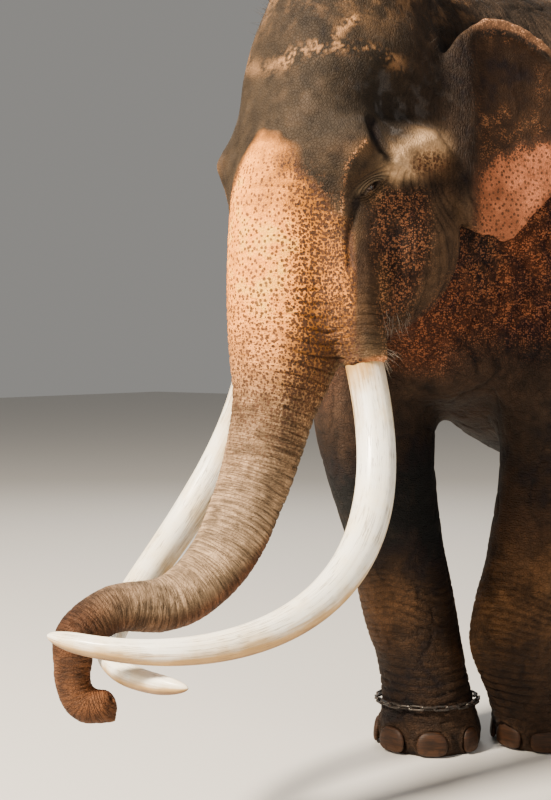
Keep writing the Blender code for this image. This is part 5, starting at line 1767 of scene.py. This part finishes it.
# ---------------------------------------------------------------- hairs
def add_hair(bm, root, direction, length, radius, bend, corner_map):
    """One tapering hair of three sides, bent towards a direction; its UVs go to its root's place."""
    layer = bm.loops.layers.uv.verify()
    point = root.copy()
    along = direction.normalized()
    side = along.orthogonal().normalized()
    other = along.cross(side)
    steps = 4
    loops = []
    for step in range(steps):
        corners = ring_round(point, side, other, radius * (1 - step / steps), 3)
        loops.append([bm.verts.new(corner) for corner in corners])
        along = (along + bend * (1 / steps)).normalized()
        point = point + along * (length / steps)
    tip = bm.verts.new(point)
    faces = [bm.faces.new(loops[0][::-1])]
    for lower, upper in zip(loops, loops[1:]):
        for i in range(3):
            j = (i + 1) % 3
            faces.append(bm.faces.new((lower[i], lower[j], upper[j], upper[i])))
    for i in range(3):
        faces.append(bm.faces.new((loops[-1][i], loops[-1][(i + 1) % 3], tip)))
    for face in faces:
        for number, loop in enumerate(face.loops):
            corner = (HAIR_PATCH * (number in (1, 2)), HAIR_PATCH * (number > 1))
            loop[layer].uv = (corner_map[0] + corner[0], corner_map[1] + corner[1])


def finish_hair(bm, name, material, slot, *nodes):
    hair = object_from(bm, name)
    hair.data.uv_layers[0].name = "OFBake"
    finish_piece(hair, material, slot, *nodes)


def make_hair(skin, at, seed, name, material, share, count, length, radius, lean, bend):
    """Hairs rooted at points of the hide, which are picked by a share for each."""
    rng = np.random.default_rng(seed)
    points = coordinates(skin.data)
    outward = normals(skin.data)
    chosen = rng.choice(len(points), size=count, replace=False, p=share / share.sum())
    bm = bmesh.new()
    for index in chosen:
        amount = 0.6 + 0.8 * rng.random()
        out = Vector(outward[index])
        direction = out + Vector(lean) + Vector(rng.normal(0, 0.28, 3))
        root = Vector(points[index]) - out * 0.002
        add_hair(bm, root, direction, length * amount, radius, Vector(bend), at.map[index])
    finish_hair(bm, name, material, "hide")


def make_bristles(skin, at, eyes):
    pale = hair_material("pale_bristle", *PALE_BRISTLE)
    dark = hair_material("dark_bristle", *DARK_BRISTLE)
    head = at.front * (1 - at.ear) * (1 - at.trunk)
    crown = (head * soft(at.hz, 0.35, 0.85)) ** 2
    chin = head * soft(-at.hz, 0.38, 0.50) * soft(at.hy, 0.15, 0.25)
    lips = at.sheath * (1 - soft(at.above, 0.02, 0.06)) * soft(at.hy, 0.06, 0.12)
    back = at.body * soft(at.z, 2.6, 2.95)
    lash = np.zeros(len(at.points))
    for name, eye in eyes.items():
        a, b, out = eye_local(at.in_head, name, eye)
        edge = lid_edge(a, b)
        lash = np.maximum(lash, np.exp(-((edge - 1.25) / 0.12) ** 2) * (b > 0.003) * (np.abs(out) < 0.05))
    # Name, material, share for each point, count, length, radius, lean and bend.
    kinds = (
        ("crown_hair", dark, crown + 1e-9, 900, 0.045, 0.00055, (0, 0, 0.3), (0, 0.2, -0.3)),
        ("chin_hair", pale, chin + 1e-9, 260, 0.05, 0.0006, (0, 0, -0.5), (0, 0, -0.6)),
        ("lip_hair", pale, lips + 1e-9, 150, 0.055, 0.0006, (0, 0.3, -0.6), (0, 0.2, -0.6)),
        ("back_hair", dark, back + 1e-9, 500, 0.03, 0.0005, (0, 0.6, 0.1), (0, 0.4, -0.2)),
        ("lashes", dark, lash + 1e-12, 150, 0.024, 0.00045, (0, -0.3, -0.35), (0, -0.1, -0.7)))
    for seed, kind in enumerate(kinds, 1):
        make_hair(skin, at, seed, *kind)


def make_tail_brush(material):
    low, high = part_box("tail_brush")
    low, high = low - ORIGIN_SHIFT, high - ORIGIN_SHIFT
    rng = np.random.default_rng(9)
    bm = bmesh.new()
    middle = (low + high) / 2
    tail_chart = np.array([list(CHARTS).index("tail")])
    for _ in range(TAIL_HAIRS):
        angle = 2 * math.pi * rng.random()
        c, s = math.cos(angle), math.sin(angle)
        start = high.z + 0.02 - 0.16 * rng.random() ** 1.5
        radius = 0.020 * math.sqrt(rng.random()) if start > high.z - 0.01 else 0.012
        root = Vector((middle.x - 0.004 + radius * c, middle.y + radius * s, start))
        length = (start - low.z) * (0.75 + 0.22 * rng.random())
        corner = on_map(tail_chart, np.array([angle - math.pi]), np.array([start]))[0]
        add_hair(bm, root, Vector((0.22 * c, 0.22 * s, -1)), length, TAIL_HAIR_RADIUS,
                 Vector((-0.30 * c, -0.30 * s, -0.8)), corner)
    finish_hair(bm, "tail_brush_hair", material, "tail_hair", "tail_brush")


# ---------------------------------------------------------------- the whole scene
FLESH = [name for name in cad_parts
         if not name.startswith(("tusk", "nail", "eye", "tail_brush", "ankle_chain"))]


def set_stage():
    bpy.ops.mesh.primitive_plane_add(size=60, location=(0, 0, -0.001))
    floor = bpy.context.object
    floor.name = "floor"
    plain = Material("floor")
    plain.surface(Base_Color=(0.62, 0.60, 0.57, 1), Roughness=0.8)
    floor.data.materials.append(plain.result)
    world = bpy.data.worlds.new("studio")
    world.use_nodes = True
    world.node_tree.nodes["Background"].inputs[0].default_value = STUDIO
    world.node_tree.nodes["Background"].inputs[1].default_value = STUDIO_STRENGTH
    bpy.context.scene.world = world
    target = LIT_POINT + ORIGIN_SHIFT
    for name, place, size, power, colour in LAMPS:
        data = bpy.data.lights.new(name, "AREA")
        data.size = size
        data.energy = power
        data.color = colour
        lamp = bpy.data.objects.new(name, data)
        lamp.location = Vector(place) + ORIGIN_SHIFT
        lamp.rotation_euler = (target - lamp.location).to_track_quat("-Z", "Y").to_euler()
        bpy.context.scene.collection.objects.link(lamp)


def set_camera():
    data = bpy.data.cameras.new("camera")
    data.sensor_fit = "VERTICAL"
    data.sensor_height = 36
    data.lens = CAMERA_LENS
    camera = bpy.data.objects.new("camera", data)
    camera.location = CAMERA_PLACE + ORIGIN_SHIFT
    camera.rotation_euler = (math.pi / 2 + CAMERA_PITCH, 0, CAMERA_AZIMUTH)
    bpy.context.scene.collection.objects.link(camera)
    bpy.context.scene.camera = camera


def build():
    eyes = {}
    for name in ("eye_left", "eye_right"):
        low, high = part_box(name)
        eyes[name] = (low + high) / 2 - ORIGIN_SHIFT
    skin, at = make_skin(eyes)
    make_bristles(skin, at, eyes)
    finish_piece(skin, hide_material(), "hide", *FLESH)
    ivory = ivory_material()
    for name in TUSKS:
        make_tusk(name, ivory)
    wet = eye_material()
    for name, place in eyes.items():
        make_eye(name, place, wet)
    horn = horn_material()
    for foot in FEET:
        for index, (place, turn, half_width) in enumerate(nail_places(foot)):
            make_nail(f"nail_{foot}_{index + 1}", place, turn, half_width, horn)
    make_chain(steel_material())
    make_tail_brush(hair_material("tail_hair", *TAIL_BRISTLE))
    set_stage()
    set_camera()


build()
